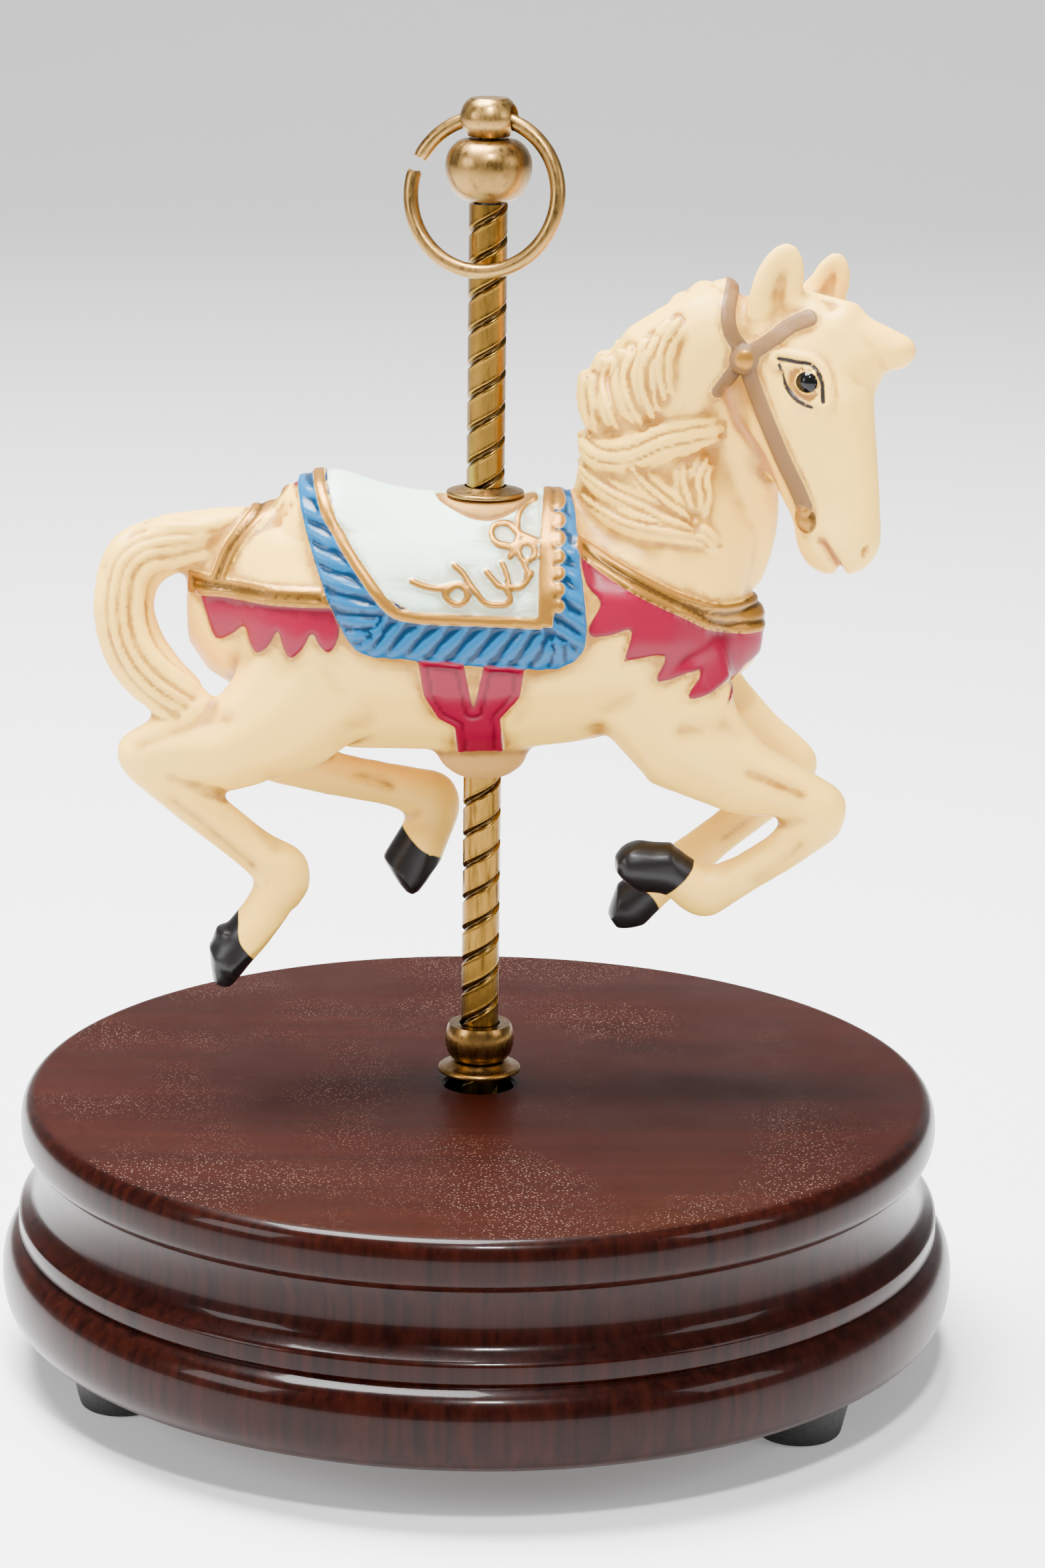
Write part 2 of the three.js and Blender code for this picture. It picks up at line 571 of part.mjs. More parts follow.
function cylinderPinion() {
  const outline = gearOutline(PINION_TEETH, PINION_RADIUS - PINION_DEDENDUM,
    PINION_RADIUS + PINION_ADDENDUM, 0.5, 0.24, true);
  return gearAlongX(outline, PINION_FROM, PINION_TO, ARBOR_RADIUS + SEAT_GAP);
}

// The tune's barrel, with a sparse spread of pins over its eighteen tracks.
function pinCylinder() {
  const drum = solid(rodAlongX(CYLINDER_RADIUS, CYLINDER_FROM, CYLINDER_TO, 32));
  const bore = solid(rodAlongX(ARBOR_RADIUS + SEAT_GAP, CYLINDER_FROM - 1, CYLINDER_TO + 1, 12));
  const pins = [];
  for (let note = 0; note < NOTE_COUNT; note++) {
    for (let beat = 0; beat < 2; beat++) {
      const pin = new THREE.CylinderGeometry(0.12, 0.2, 0.9, 3).translate(0, CYLINDER_RADIUS, 0);
      pin.rotateX(radians(90 + 37 * note + 150 * beat));
      pin.translate(CYLINDER_FROM + (note + 0.5) * CYLINDER_LENGTH / NOTE_COUNT, 0, 0);
      pins.push(solid(pin));
    }
  }
  return cut(join(drum, ...pins), bore).translate([0, 0, TRAIN_HEIGHT]);
}

// The comb: eighteen steel tongues that grow longer towards the bass end.
function musicComb() {
  const tipY = CYLINDER_RADIUS + 0.8;
  const pitch = CYLINDER_LENGTH / NOTE_COUNT;
  const outline = [[CYLINDER_TO + 0.3, 25], [CYLINDER_FROM - 0.3, 25]];
  for (let note = 0; note < NOTE_COUNT; note++) {
    const left = CYLINDER_FROM + note * pitch;
    const rootY = 17.4 - 5 * note / NOTE_COUNT;
    outline.push([left + 0.15, rootY], [left + 0.15, tipY]);
    outline.push([left + pitch - 0.15, tipY], [left + pitch - 0.15, rootY]);
  }
  const comb = solid(raised(outline, COMB_BOTTOM, COMB_BOTTOM + 1));
  return cut(comb, ...COMB_SCREW_PLACES.map((place) =>
    screwHole(place, COMB_BOTTOM - 1, COMB_BOTTOM + 2, 0.9)));
}


function combBlock() {
  const stand = solid(block(CYLINDER_LENGTH, 7, PLATE_TOP + SEAT_GAP, COMB_BOTTOM - SEAT_GAP)
    .translate(CYLINDER_FROM + CYLINDER_LENGTH / 2, 21.3, 0));
  return cut(stand, ...COMB_SCREW_PLACES.map((place) =>
    screwHole(place, PLATE_TOP, COMB_BOTTOM + 1, 0.9)));
}

function cylinderWheel() {
  const radius = WHEEL_TEETH * WHEEL_MODULE / 2;
  const outline = gearOutline(WHEEL_TEETH, radius - 0.65, radius + 0.4, 0.5, 0.22);
  return gearAlongX(outline, WHEEL_FROM, WHEEL_FROM + WHEEL_WIDTH, ARBOR_RADIUS + SEAT_GAP);
}

// The small pinion beside the cylinder's wheel, a gap of it facing that wheel.
function flyPinion() {
  const radius = FLY_PINION_TEETH * WHEEL_MODULE / 2;
  const outline = gearOutline(FLY_PINION_TEETH, radius - 0.62, radius + 0.4, 0.48, 0.2, true);
  const pinion = gearAlongX(outline, WHEEL_FROM, WHEEL_FROM + WHEEL_WIDTH, 1);
  return pinion.translate(0, FLY_SHAFT_Y, 0);
}

function wormWheel() {
  const outline = gearOutline(WORM_WHEEL_TEETH, WORM_WHEEL_RADIUS - 0.7, WORM_WHEEL_RADIUS + 0.5,
    0.4, 0.26);
  const from = WORM_X - WORM_WHEEL_WIDTH / 2;
  const wheel = gearAlongX(outline, from, from + WORM_WHEEL_WIDTH, 1);
  wheel.translate(0, 0, -TRAIN_HEIGHT).rotateX(radians(-90));
  return wheel.translate(0, FLY_SHAFT_Y, TRAIN_HEIGHT);
}

// The endless screw: a right-handed thread between two thin pivots, a groove of it level with
// the worm wheel's shaft on the wheel's side.
function governorWorm() {
  const sides = 12;
  const halfThread = 3.4;
  const radiusAt = (angle, height) => {
    const phase = (angle - 90) / 360 - height / WORM_PITCH;
    const away = Math.abs(phase - Math.round(phase));
    return THREE.MathUtils.clamp((away - 0.29) / 0.1, 0, 1) * (WORM_OUTER - WORM_CORE) + WORM_CORE;
  };
  const loop = (height, radius) => {
    const points = [];
    for (let j = 0; j < sides; j++) {
      const angle = 360 * j / sides;
      const [x, y] = polar(radius ?? radiusAt(angle, height), angle);
      points.push(new THREE.Vector3(x, y, height));
    }
    return points;
  };
  const low = PLATE_BOTTOM + 0.4 - TRAIN_HEIGHT;
  const high = BRIDGE_ARM_BOTTOM + 1 - TRAIN_HEIGHT;
  const rings = [loop(low, 0.6), loop(PLATE_TOP + 0.4 - TRAIN_HEIGHT, 0.6),
    loop(PLATE_TOP + 0.4 - TRAIN_HEIGHT + 0.01, WORM_CORE)];
  const steps = 18;
  for (let i = 0; i <= steps; i++) {
    rings.push(loop(-halfThread + 2 * halfThread * i / steps));
  }
  rings.push(loop(halfThread + 0.3, WORM_CORE), loop(BRIDGE_ARM_BOTTOM - 0.4 - TRAIN_HEIGHT, WORM_CORE));
  rings.push(loop(BRIDGE_ARM_BOTTOM - 0.39 - TRAIN_HEIGHT, 0.6), loop(high, 0.6));
  return skinned(rings);
}

function governorFan() {
  const hub = solid(ring(WORM_CORE + SEAT_GAP, WORM_CORE + SEAT_GAP + 0.8, FAN_BOTTOM, FAN_TOP, 16));
  const blades = [0, 180].map((angle) => solid(block(FAN_RADIUS - 1.9, 0.5, FAN_BOTTOM, FAN_TOP)
    .translate(1.9 + (FAN_RADIUS - 1.9) / 2, 0, 0).rotateZ(radians(angle))));
  return join(hub, ...blades);
}

// The post and arm that hold the top pivot of the worm.
function governorBridge() {
  const postY = WORM_Y - FAN_RADIUS - 0.7 - 1.2;
  const top = BRIDGE_ARM_BOTTOM + 1.5;
  const post = solid(block(3, 2.4, PLATE_TOP + SEAT_GAP, top).translate(WORM_X, postY, 0));
  const reach = WORM_Y + 1.6 - (postY - 1.2);
  const arm = solid(block(3, reach, BRIDGE_ARM_BOTTOM, top)
    .translate(WORM_X, postY - 1.2 + reach / 2, 0));
  const pivot = solid(disc(0.9, BRIDGE_ARM_BOTTOM - 1, top + 1, 12).translate(WORM_X, WORM_Y, 0));
  return cut(join(post, arm), pivot);
}

function supportPost() {
  return ring(SCREW_RADIUS + SEAT_GAP, POST_RADIUS, PLATE_TOP + SEAT_GAP,
    ROOF_UNDERSIDE - SEAT_GAP, 16);
}

function frameGroup() {
  const screwPlace = PLATE_BOTTOM - SEAT_GAP - 1.2;
  const parts = [
    piece('movement_bedplate', bedplate(), CAST_ZINC),
    piece('comb_block', combBlock(), CAST_ZINC),
    piece('music_comb', musicComb(), STEEL),
    piece('governor_bridge', governorBridge(), CAST_ZINC),
    piece('ratchet_click', click(), STEEL),
  ];
  POST_PLACES.forEach(([x, y], i) => {
    const length = ROOF_UNDERSIDE + 3 - screwPlace;
    const long = screw(SCREW_RADIUS, SCREW_HEAD_RADIUS, 1.2, length);
    parts.push(piece(`support_post_${i + 1}`, supportPost(), STEEL, [x, y, 0]));
    parts.push(piece(`movement_screw_${i + 1}`, long, STEEL, [x, y, screwPlace]));
  });
  COMB_SCREW_PLACES.forEach(([x, y], i) => {
    const length = COMB_BOTTOM - PLATE_TOP;
    const short = screw(0.9, 1.8, 1, length).rotateX(Math.PI);
    const place = [x, y, COMB_BOTTOM + 1 + SEAT_GAP + 1];
    parts.push(piece(`comb_screw_${i + 1}`, short, STEEL, place));
  });
  return grouped(parts);
}

function trainGroup() {
  const shaftEnd = OUTER_LUG + LUG_THICKNESS - 0.2;
  const cylinderArbor = rodAlongX(ARBOR_RADIUS, BARREL_RADIUS + 0.4, shaftEnd, 16);
  const flyArbor = rodAlongX(0.7, CYLINDER_TO + 0.8, shaftEnd, 12);
  const lid = ring(WINDING_ARBOR_RADIUS + 0.6, BARREL_RADIUS, BARREL_TOP + SEAT_GAP, LID_TOP, 40);
  return grouped(
    piece('mainspring_barrel', mainspringBarrel(), BRIGHT_BRASS),
    piece('mainspring', mainspring(), STEEL),
    piece('barrel_lid', lid, BRIGHT_BRASS),
    piece('drive_spindle', driveSpindle(), STEEL),
    piece('cylinder_arbor', cylinderArbor, STEEL, [0, 0, TRAIN_HEIGHT]),
    piece('cylinder_pinion', cylinderPinion(), BRIGHT_BRASS),
    piece('pin_cylinder', pinCylinder(), BRIGHT_BRASS),
    piece('cylinder_wheel', cylinderWheel(), BRIGHT_BRASS),
    piece('fly_arbor', flyArbor, STEEL, [0, FLY_SHAFT_Y, TRAIN_HEIGHT]),
    piece('fly_pinion', flyPinion(), STEEL),
    piece('worm_wheel', wormWheel(), BRIGHT_BRASS),
    piece('governor_worm', governorWorm(), STEEL, [WORM_X, WORM_Y, TRAIN_HEIGHT]),
    piece('governor_fan', governorFan(), STEEL, [WORM_X, WORM_Y, 0]),
  );
}

function windingGroup() {
  const arborBottom = FOOT_HEIGHT - 1.8 - 1.6;
  const arbor = disc(WINDING_ARBOR_RADIUS, arborBottom, BARREL_TOP - 0.3, 20);
  return grouped(
    piece('winding_arbor', arbor, STEEL),
    piece('ratchet_wheel', ratchetWheel(), STEEL),
    piece('winding_key', windingKey(), BRIGHT_BRASS),
  );
}

// ---- Pole --------------------------------------------------------------------------------
function lowerPole() {
  const top = BASE_TOP + BELLY_BOSS_BOTTOM + COUNTERBORE_DEPTH - SEAT_GAP;
  const tube = solid(ring(TUBE_INNER, POLE_RADIUS, POLE_BOTTOM, top, 32));
  return cut(tube, solid(rodAlongX(PIN_RADIUS + SEAT_GAP, -6, 6, 12).translate(0, 0, PIN_HEIGHT)));
}

// The sleeve in the pole's foot: its square hole is keyed to the spindle, its sides hold the pins.
function spindleSleeve() {
  const sleeve = solid(disc(TUBE_INNER - SEAT_GAP, POLE_BOTTOM + 0.3, PIN_HEIGHT + SLEEVE_REACH, 24));
  const side = SPINDLE_SIDE + 2 * RUN_GAP;
  const hole = solid(block(side, side, POLE_BOTTOM - 1, PIN_HEIGHT + SLEEVE_REACH + 1));
  const pins = solid(rodAlongX(PIN_RADIUS + SEAT_GAP, -6, 6, 12).translate(0, 0, PIN_HEIGHT));
  return cut(sleeve, hole, pins);
}

function coreRod() {
  const bottom = PIN_HEIGHT + SPINDLE_REACH + 1;
  const thick = TUBE_INNER - SEAT_GAP;
  const top = CAP_BOTTOM - 4;
  return turned([[0, bottom], [thick, bottom], [thick, bottom + 6], [ROD_RADIUS, bottom + 6],
    [ROD_RADIUS, top], [0, top]], 24);
}

function collar() {
  return turned([[POLE_BORE, 0], [COLLAR_RADIUS, 0], [COLLAR_RADIUS, 0.7],
    [COLLAR_RADIUS * 0.86, 1.1], [4.7, COLLAR_HEIGHT], [POLE_BORE, COLLAR_HEIGHT]], 24);
}

// A rounded bead: circle-like between a wide foot and a narrow top.
function bead() {
  const profile = [[POLE_BORE, 0]];
  for (let i = 0; i <= 6; i++) {
    const share = i / 6;
    const bulge = Math.sqrt(Math.max(0, 1 - ((share - 0.57) / 0.6) ** 2));
    const foot = POLE_BORE + 0.25;
    profile.push([foot + (BEAD_RADIUS - foot) * bulge, BEAD_HEIGHT * share]);
  }
  profile.push([POLE_BORE, BEAD_HEIGHT]);
  return turned(profile, 24);
}

function topFlange() {
  return turned([[POLE_BORE, 0], [6.5, 0], [6.3, 0.6], [4.6, 1.05], [3.9, 1.4],
    [POLE_BORE, 1.5]], 24);
}

function finialBall() {
  const profile = [[ROD_BORE, 0]];
  const waist = 3.1;
  for (let i = 0; i <= 9; i++) {
    const share = i / 9;
    const middle = 0.57;
    const reach = share < middle ? middle : 1 - middle;
    const bulge = Math.sqrt(Math.max(0, 1 - ((share - middle) / reach) ** 2));
    profile.push([waist + (BALL_RADIUS - waist) * bulge, BALL_HEIGHT * share]);
  }
  profile.push([ROD_BORE, BALL_HEIGHT]);
  return turned(profile, 24);
}

// The cap's stud goes down into the ball; its cross hole flares as far as the swinging ring does.
function finialCap() {
  const outside = solid(turned([[0, -3.6], [ROD_RADIUS, -3.6], [ROD_RADIUS, 0], [3.4, 0],
    [3.5, 0.5], [4.4, 1.4], [CAP_RADIUS, 2.7], [CAP_RADIUS, 3.3], [4.4, 4.7], [3.8, 5.6],
    [CAP_TOP_RADIUS, CAP_HEIGHT], [0, CAP_HEIGHT]], 24));
  const swept = [[0, -6]];
  for (let i = -6; i <= 6; i += 1.5) {
    const drop = RING_RADIUS - Math.sqrt(RING_RADIUS ** 2 - i ** 2);
    swept.push([RING_WIRE_RADIUS + RUN_GAP + drop, i]);
  }
  swept.push([0, 6]);
  const hole = turned(swept, 16).rotateY(Math.PI / 2).rotateZ(radians(RING_YAW));
  return cut(outside, solid(hole.translate(0, 0, RING_HEIGHT - CAP_BOTTOM)));
}

// The ring hangs from the hole and leans on the front of the pole. It is drawn standing in the
// XZ plane with its top at the origin, then leaned and yawed.
function brassRing() {
  const start = radians(RING_GAP_TO);
  const span = radians(360 - (RING_GAP_TO - RING_GAP_FROM));
  const path = new THREE.Curve();
  path.getPoint = (along, target = new THREE.Vector3()) => {
    const angle = start + span * along;
    const x = RING_RADIUS * Math.cos(angle);
    return target.set(x, 0, RING_RADIUS * Math.sin(angle) - RING_RADIUS);
  };
  const section = new THREE.Shape();
  section.absarc(0, 0, RING_WIRE_RADIUS, 0, 2 * Math.PI);
  const options = { steps: 36, curveSegments: 4, extrudePath: path };
  return new THREE.ExtrudeGeometry(section, options);
}

function ringGroup() {
  const brass = piece('brass_ring', brassRing(), ANTIQUE_BRASS);
  brass.rotation.x = -RING_LEAN;
  const hanger = grouped(brass);
  hanger.rotation.z = radians(RING_YAW);
  hanger.position.z = RING_HEIGHT;
  return hanger;
}

// ---- Horse -------------------------------------------------------------------------------
// Every height below is above the base's flat top, and the horse's own origin is there too.

// A limb or trunk through stations [x, y, z, half-depth, half-width]: the depth lies across the
// run in the plane square to `side`, and the width lies along `side`. Both ends are rounded.
function limb(stations, side = [0, 1, 0], stepsBetween = 1, sides = 9) {
  const route = new THREE.CatmullRomCurve3(stations.map(([x, y, z]) => new THREE.Vector3(x, y, z)));
  const girths = new THREE.CatmullRomCurve3(stations.map((s) => new THREE.Vector3(s[3], s[4], 0)));
  const across = new THREE.Vector3(...side);
  const count = (stations.length - 1) * stepsBetween;
  const loop = (share, push, shrink) => {
    const centre = route.getPoint(share);
    const along = route.getTangent(share);
    const width = across.clone().addScaledVector(along, -across.dot(along)).normalize();
    const depth = width.clone().cross(along);
    const girth = girths.getPoint(share);
    centre.addScaledVector(along, push * Math.min(girth.x, girth.y));
    const points = [];
    for (let j = 0; j < sides; j++) {
      const angle = 2 * Math.PI * j / sides;
      points.push(centre.clone()
        .addScaledVector(depth, shrink * girth.x * Math.cos(angle))
        .addScaledVector(width, shrink * girth.y * Math.sin(angle)));
    }
    return points;
  };
  const rings = [loop(0, -0.85, 0.45), loop(0, -0.5, 0.8)];
  for (let i = 0; i <= count; i++) rings.push(loop(i / count, 0, 1));
  rings.push(loop(1, 0.5, 0.8), loop(1, 0.85, 0.45));
  return solid(skinned(rings));
}

// A hoof: a short cone from its narrow crown to its wide flat sole.
function hoof(crown, sole, crownRadius, soleRadius) {
  const from = new THREE.Vector3(...crown);
  const to = new THREE.Vector3(...sole);
  const cone = new THREE.CylinderGeometry(soleRadius, crownRadius, from.distanceTo(to), 14);
  const turn = new THREE.Quaternion().setFromUnitVectors(new THREE.Vector3(0, 1, 0),
    to.clone().sub(from).normalize());
  return solid(cone.applyQuaternion(turn).translate(...from.add(to).multiplyScalar(0.5).toArray()));
}

const TORSO = [
  [-40.6, 0, 84, 15, 10.4], [-36.5, 0, 84, 17.6, 14], [-30, 0, 82, 20.5, 16.5], [-20, 0, 80.5, 21.5, 17],
  [-8, 0, 80, 21, 16.6], [4, 0, 80, 20.8, 16.6], [14, 0, 81, 20.5, 17.2], [24, 0, 81.5, 19, 17.5],
  [31, 0, 81, 17.4, 16], [36, 0, 80.4, 13.6, 12.5], [39.4, 0, 80, 9.4, 8],
];

function trunk(extra = 0) {
  return limb(TORSO.map(([x, y, z, depth, width]) => [x, y, z, depth + extra, width + extra]),
    [0, 1, 0], 1, 16);
}

function neckAndHead() {
  const headYaw = radians(35);
  const headSide = [Math.sin(headYaw), Math.cos(headYaw), 0];
  return [
    limb([[37, 0, 88, 6.6, 6], [40.6, 0, 96, 6.2, 5.4], [42, -1, 104, 6, 5],
      [40.4, -2, 113, 5.6, 4.6], [37, -3, 121, 5, 4]]),
    limb([[29.2, 0, 86, 15, 14], [30, 0, 96, 16, 12], [29, 0, 106, 14.5, 9.6],
      [28, -1, 116, 11.5, 8.4], [31, -2.4, 125, 10.5, 7.8], [38, -3.6, 131, 8.5, 7]],
    [0, 1, 0], 1, 12),
    limb([[44, -3.5, 131, 7.5, 6], [50, -6, 126, 11.5, 7.4], [53, -8.4, 118, 12.2, 7.6],
      [55.4, -10.6, 110, 10, 6.3], [57.4, -12.2, 103, 8.2, 5.3], [58, -13, 97, 7.6, 5.2]],
    headSide, 1, 12),
    limb([[46, -7.6, 134, 3.4, 2.2], [47.5, -8, 140, 4.2, 2], [49.8, -8.4, 144.6, 1.4, 1]],
      [0.3, 1, 0], 1, 8),
    limb([[51, -1.6, 129.6, 3.4, 2.6], [54.4, 0.8, 136.6, 3.8, 2.1], [57, 2, 142.4, 1.3, 1]],
      [0.3, 1, 0], 1, 8),
    limb([[50, -5, 133.6, 5, 5.4], [56.6, -8, 132, 6.2, 6], [59, -9.6, 126, 6.6, 6]], headSide, 1, 10),
    limb([[60.6, -9.4, 131, 4, 3.8], [65.8, -10.8, 129.2, 3.5, 3.4]], headSide, 1, 8),
  ];
}

function hindLegs() {
  return [
    limb([[-27, -8.4, 74, 14, 8], [-35, -10, 65.5, 10.5, 7.2], [-44, -11, 61, 7.4, 5.8],
      [-53, -11, 61.4, 5.8, 4.6], [-57, -11, 60.4, 4.6, 4.2]]),
    limb([[-56, -11, 59.4, 4.4, 4], [-47.6, -11, 52, 4.1, 3.7], [-40, -11, 46, 4, 3.6],
      [-32.6, -11, 40.4, 4.7, 4.2]]),
    limb([[-32.4, -11, 39.6, 4.6, 4.2], [-35.6, -11, 34, 4.2, 4]]),
    hoof([-35.6, -11, 33.4], [-42, -11, 23.4], 4.3, 5.6),
    limb([[-24, 8.4, 73, 13, 8], [-30.5, 10, 63, 9, 6.6], [-36, 11, 55.4, 5.6, 4.8]]),
    limb([[-36, 11, 54.4, 4.4, 4], [-26, 11, 51.8, 4, 3.6], [-16, 11, 50, 3.9, 3.6],
      [-8, 11, 48, 4.6, 4.2]]),
    limb([[-7.6, 11, 47, 4.5, 4.2], [-9.4, 11, 41.6, 4.4, 4]]),
    hoof([-9.4, 11, 42], [-14, 11, 32], 4.3, 5.4),
  ];
}

function foreLegs() {
  return [
    limb([[29, -7.6, 73, 13, 8.4], [35, -9.4, 62.6, 10, 6.8], [44, -10, 57, 6.8, 5],
      [52, -10, 54.6, 4.9, 4.3], [57, -10, 51.8, 4.8, 4.3]]),
    limb([[56.6, -10, 50.4, 4.6, 4.2], [50, -10, 44.6, 3.8, 3.5], [43.4, -10, 40.4, 3.7, 3.5],
      [37, -10, 36.8, 4.4, 4]]),
    limb([[36.4, -10, 37.4, 4.3, 4], [32.4, -10, 40.6, 4, 3.8]]),
    hoof([33, -10, 41], [23.6, -10, 42], 4, 4.8),
    limb([[31, 7.6, 73, 12, 8], [39, 8.6, 64, 8.4, 6.4], [47, 9, 59, 5.6, 4.6],
      [53.4, 9, 54.6, 4.7, 4.2]]),
    limb([[53.2, 9, 53.4, 4.4, 4], [46.6, 9, 47, 3.7, 3.5], [40, 9, 41.6, 3.6, 3.4],
      [34, 9, 36.4, 4.2, 3.9]]),
    limb([[33.4, 9, 36, 4.1, 3.9], [29.6, 9, 33, 3.8, 3.7]]),
    hoof([30, 9, 33.4], [23.4, 9, 27.6], 3.9, 4.7),
  ];
}

// The tail springs from the croup, curls out and comes back to the near hock.
function tail() {
  return limb([[-36, 0, 95.6, 5, 5], [-44, -1, 95.4, 5, 5], [-52, -2, 94.4, 5.2, 5],
    [-58.4, -3, 90.6, 5.6, 5.4], [-60, -4.4, 83.6, 5.4, 5.4], [-57.8, -6, 77, 5.4, 5.2],
    [-53, -8, 71.6, 5, 4.8], [-48, -9.6, 67, 4.4, 4.4]]);
}

// Blanket and girth: the trunk's own shape, a little fuller, kept only inside their outlines.
function tack() {
  const blanket = [[-29.5, 108], [-27, 98.6], [-24.6, 90], [-19.6, 79.4], [-12.4, 78.8], [0, 77.6],
    [10, 77.2], [14.4, 78.6], [16.4, 82], [16.2, 90], [15.2, 97], [14.6, 106]];
  const girth = [[-10.8, 79], [-7.4, 68], [-4.2, 64], [-3.8, 56], [3.8, 56], [3.4, 64], [6, 72],
    [6.8, 79]];
  const upright = (outline) =>
    solid(raised(outline, -30, 30).rotateX(Math.PI / 2));
  const seat = limb([[-27, 0, 97, 9.4, 11.5], [-20, 0, 94.6, 9.4, 12.4], [-8, 0, 91.6, 10, 12.6],
    [4, 0, 91.2, 10, 12.4], [12, 0, 93.6, 10, 11]], [0, 1, 0], 1, 12);
  return [
    trunk(1.3).intersect(upright(blanket)),
    trunk(0.8).intersect(upright(girth)),
    seat,
  ];
}

function bosses() {
  return [
    solid(disc(7.6, 92, SADDLE_BOSS_TOP, 32)),
    solid(turned([[0, BELLY_BOSS_BOTTOM], [POLE_BORE + 0.6, BELLY_BOSS_BOTTOM], [5.9, 55.9],
      [7.5, 57.2], [7.5, 64], [0, 64]], 32)),
  ];
}

function horse() {
  const body = join(trunk(), ...neckAndHead(), ...hindLegs(), ...foreLegs(), tail(), ...tack(),
    ...bosses());
  const low = BELLY_BOSS_BOTTOM + COUNTERBORE_DEPTH;
  const high = SADDLE_BOSS_TOP - COUNTERBORE_DEPTH;
  return cut(body, solid(disc(POLE_BORE, BELLY_BOSS_BOTTOM - 5, low, 24)),
    solid(disc(POLE_BORE, high - SEAT_GAP, SADDLE_BOSS_TOP + 8, 24)),
    solid(disc(ROD_BORE, BELLY_BOSS_BOTTOM - 5, SADDLE_BOSS_TOP + 5, 20)));
}

function poleGroup() {
  const upperBottom = FLANGE_BOTTOM - SEAT_GAP - COUNTERBORE_DEPTH;
  const pinFrom = SPINDLE_SIDE / 2 + RUN_GAP + 0.4;
  const rightPin = rodAlongX(PIN_RADIUS, pinFrom, PIN_REACH, 16);
  const leftPin = rodAlongX(PIN_RADIUS, -PIN_REACH, -pinFrom, 16);
  return grouped(
    piece('thrust_pin_right', rightPin, STEEL, [0, 0, PIN_HEIGHT]),
    piece('thrust_pin_left', leftPin, STEEL, [0, 0, PIN_HEIGHT]),
    piece('spindle_sleeve', spindleSleeve(), STEEL),
    piece('lower_pole', lowerPole(), BRIGHT_BRASS),
    piece('core_rod', coreRod(), STEEL),
    piece('lower_collar', collar(), DARK_BRASS, [0, 0, COLLAR_BOTTOM]),
    piece('lower_bead', bead(), DARK_BRASS, [0, 0, BEAD_BOTTOM]),
    piece('carousel_horse', horse(), IVORY, [0, 0, BASE_TOP]),
    piece('top_flange', topFlange(), ANTIQUE_BRASS, [0, 0, FLANGE_BOTTOM]),
    piece('upper_pole', ring(TUBE_INNER, POLE_RADIUS, upperBottom, UPPER_POLE_TOP), BRIGHT_BRASS),
    piece('finial_ball', finialBall(), ANTIQUE_BRASS, [0, 0, BALL_BOTTOM]),
    piece('finial_cap', finialCap(), ANTIQUE_BRASS, [0, 0, CAP_BOTTOM]),
    ringGroup(),
  );
}

// ---- The whole music box -----------------------------------------------------------------
const musicBox = grouped(baseGroup(), bearingGroup(), frameGroup(), trainGroup(), windingGroup(),
  poleGroup());

export default musicBox;
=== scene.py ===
"""Carousel music box: the finished surfaces of the painted horse, the twisted pole, the turned
wooden base and their metal parts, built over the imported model. Metres, +Z up."""
import bpy
import json
import math
import numpy as np
from mathutils import Matrix, Vector
from mathutils.bvhtree import BVHTree


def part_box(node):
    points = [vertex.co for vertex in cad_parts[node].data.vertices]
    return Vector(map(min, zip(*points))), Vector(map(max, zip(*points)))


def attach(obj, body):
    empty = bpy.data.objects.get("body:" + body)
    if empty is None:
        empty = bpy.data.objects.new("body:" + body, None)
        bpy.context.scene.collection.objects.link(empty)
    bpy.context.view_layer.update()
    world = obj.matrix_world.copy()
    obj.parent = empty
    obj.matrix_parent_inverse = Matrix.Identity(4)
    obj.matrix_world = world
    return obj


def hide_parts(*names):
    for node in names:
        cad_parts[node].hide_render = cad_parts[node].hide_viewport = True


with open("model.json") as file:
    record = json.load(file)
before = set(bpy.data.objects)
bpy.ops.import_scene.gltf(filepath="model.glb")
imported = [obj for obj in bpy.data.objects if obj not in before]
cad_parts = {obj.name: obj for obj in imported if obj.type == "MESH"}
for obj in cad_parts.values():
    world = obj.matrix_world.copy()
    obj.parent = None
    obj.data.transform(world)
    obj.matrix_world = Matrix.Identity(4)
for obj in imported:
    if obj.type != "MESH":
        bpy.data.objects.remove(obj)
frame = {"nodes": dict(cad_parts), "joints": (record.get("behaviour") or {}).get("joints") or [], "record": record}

bl_info = {
    "name": "Carousel Music Box",
    "version": (1, 0, 0),
    "blender": (4, 5, 0),
    "location": "3D View > Sidebar > Music Box",
    "description": "Builds a painted carousel horse on a brass pole over a turned wooden base",
    "category": "Add Mesh",
}

MM = 0.001
BASE_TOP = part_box("wood_top")[1][2]
BASE_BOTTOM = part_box("wood_ring")[0][2]
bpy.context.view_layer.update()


def frame_joint(name):
    """The joint's entry in the frame: its place, axis and range."""
    return next(joint for joint in frame["joints"] if joint["name"] == name)


# ---- Sizes and colours that a user would change --------------------------------------------
def length(label, default, about):
    return bpy.props.FloatProperty(name=label, description=about, default=default, min=0.0,
                                   subtype="DISTANCE", unit="LENGTH", precision=5)


def colour(label, default, about):
    return bpy.props.FloatVectorProperty(name=label, description=about, default=default,
                                         subtype="COLOR", size=3, min=0.0, max=1.0)


class MusicBoxSizes(bpy.types.PropertyGroup):
    twist_lead: length("Twist lead", 0.011, "Height the pole's groove climbs in one turn")
    groove_depth: length("Groove depth", 0.00050, "Depth of the pole's spiral groove")
    skin_voxel: length("Skin voxel", 0.00052, "Grain of the horse's sculpted skin")
    sides: bpy.props.IntProperty(name="Turned sides", default=160, min=24,
                                 description="Number of sides round the large turned pieces")


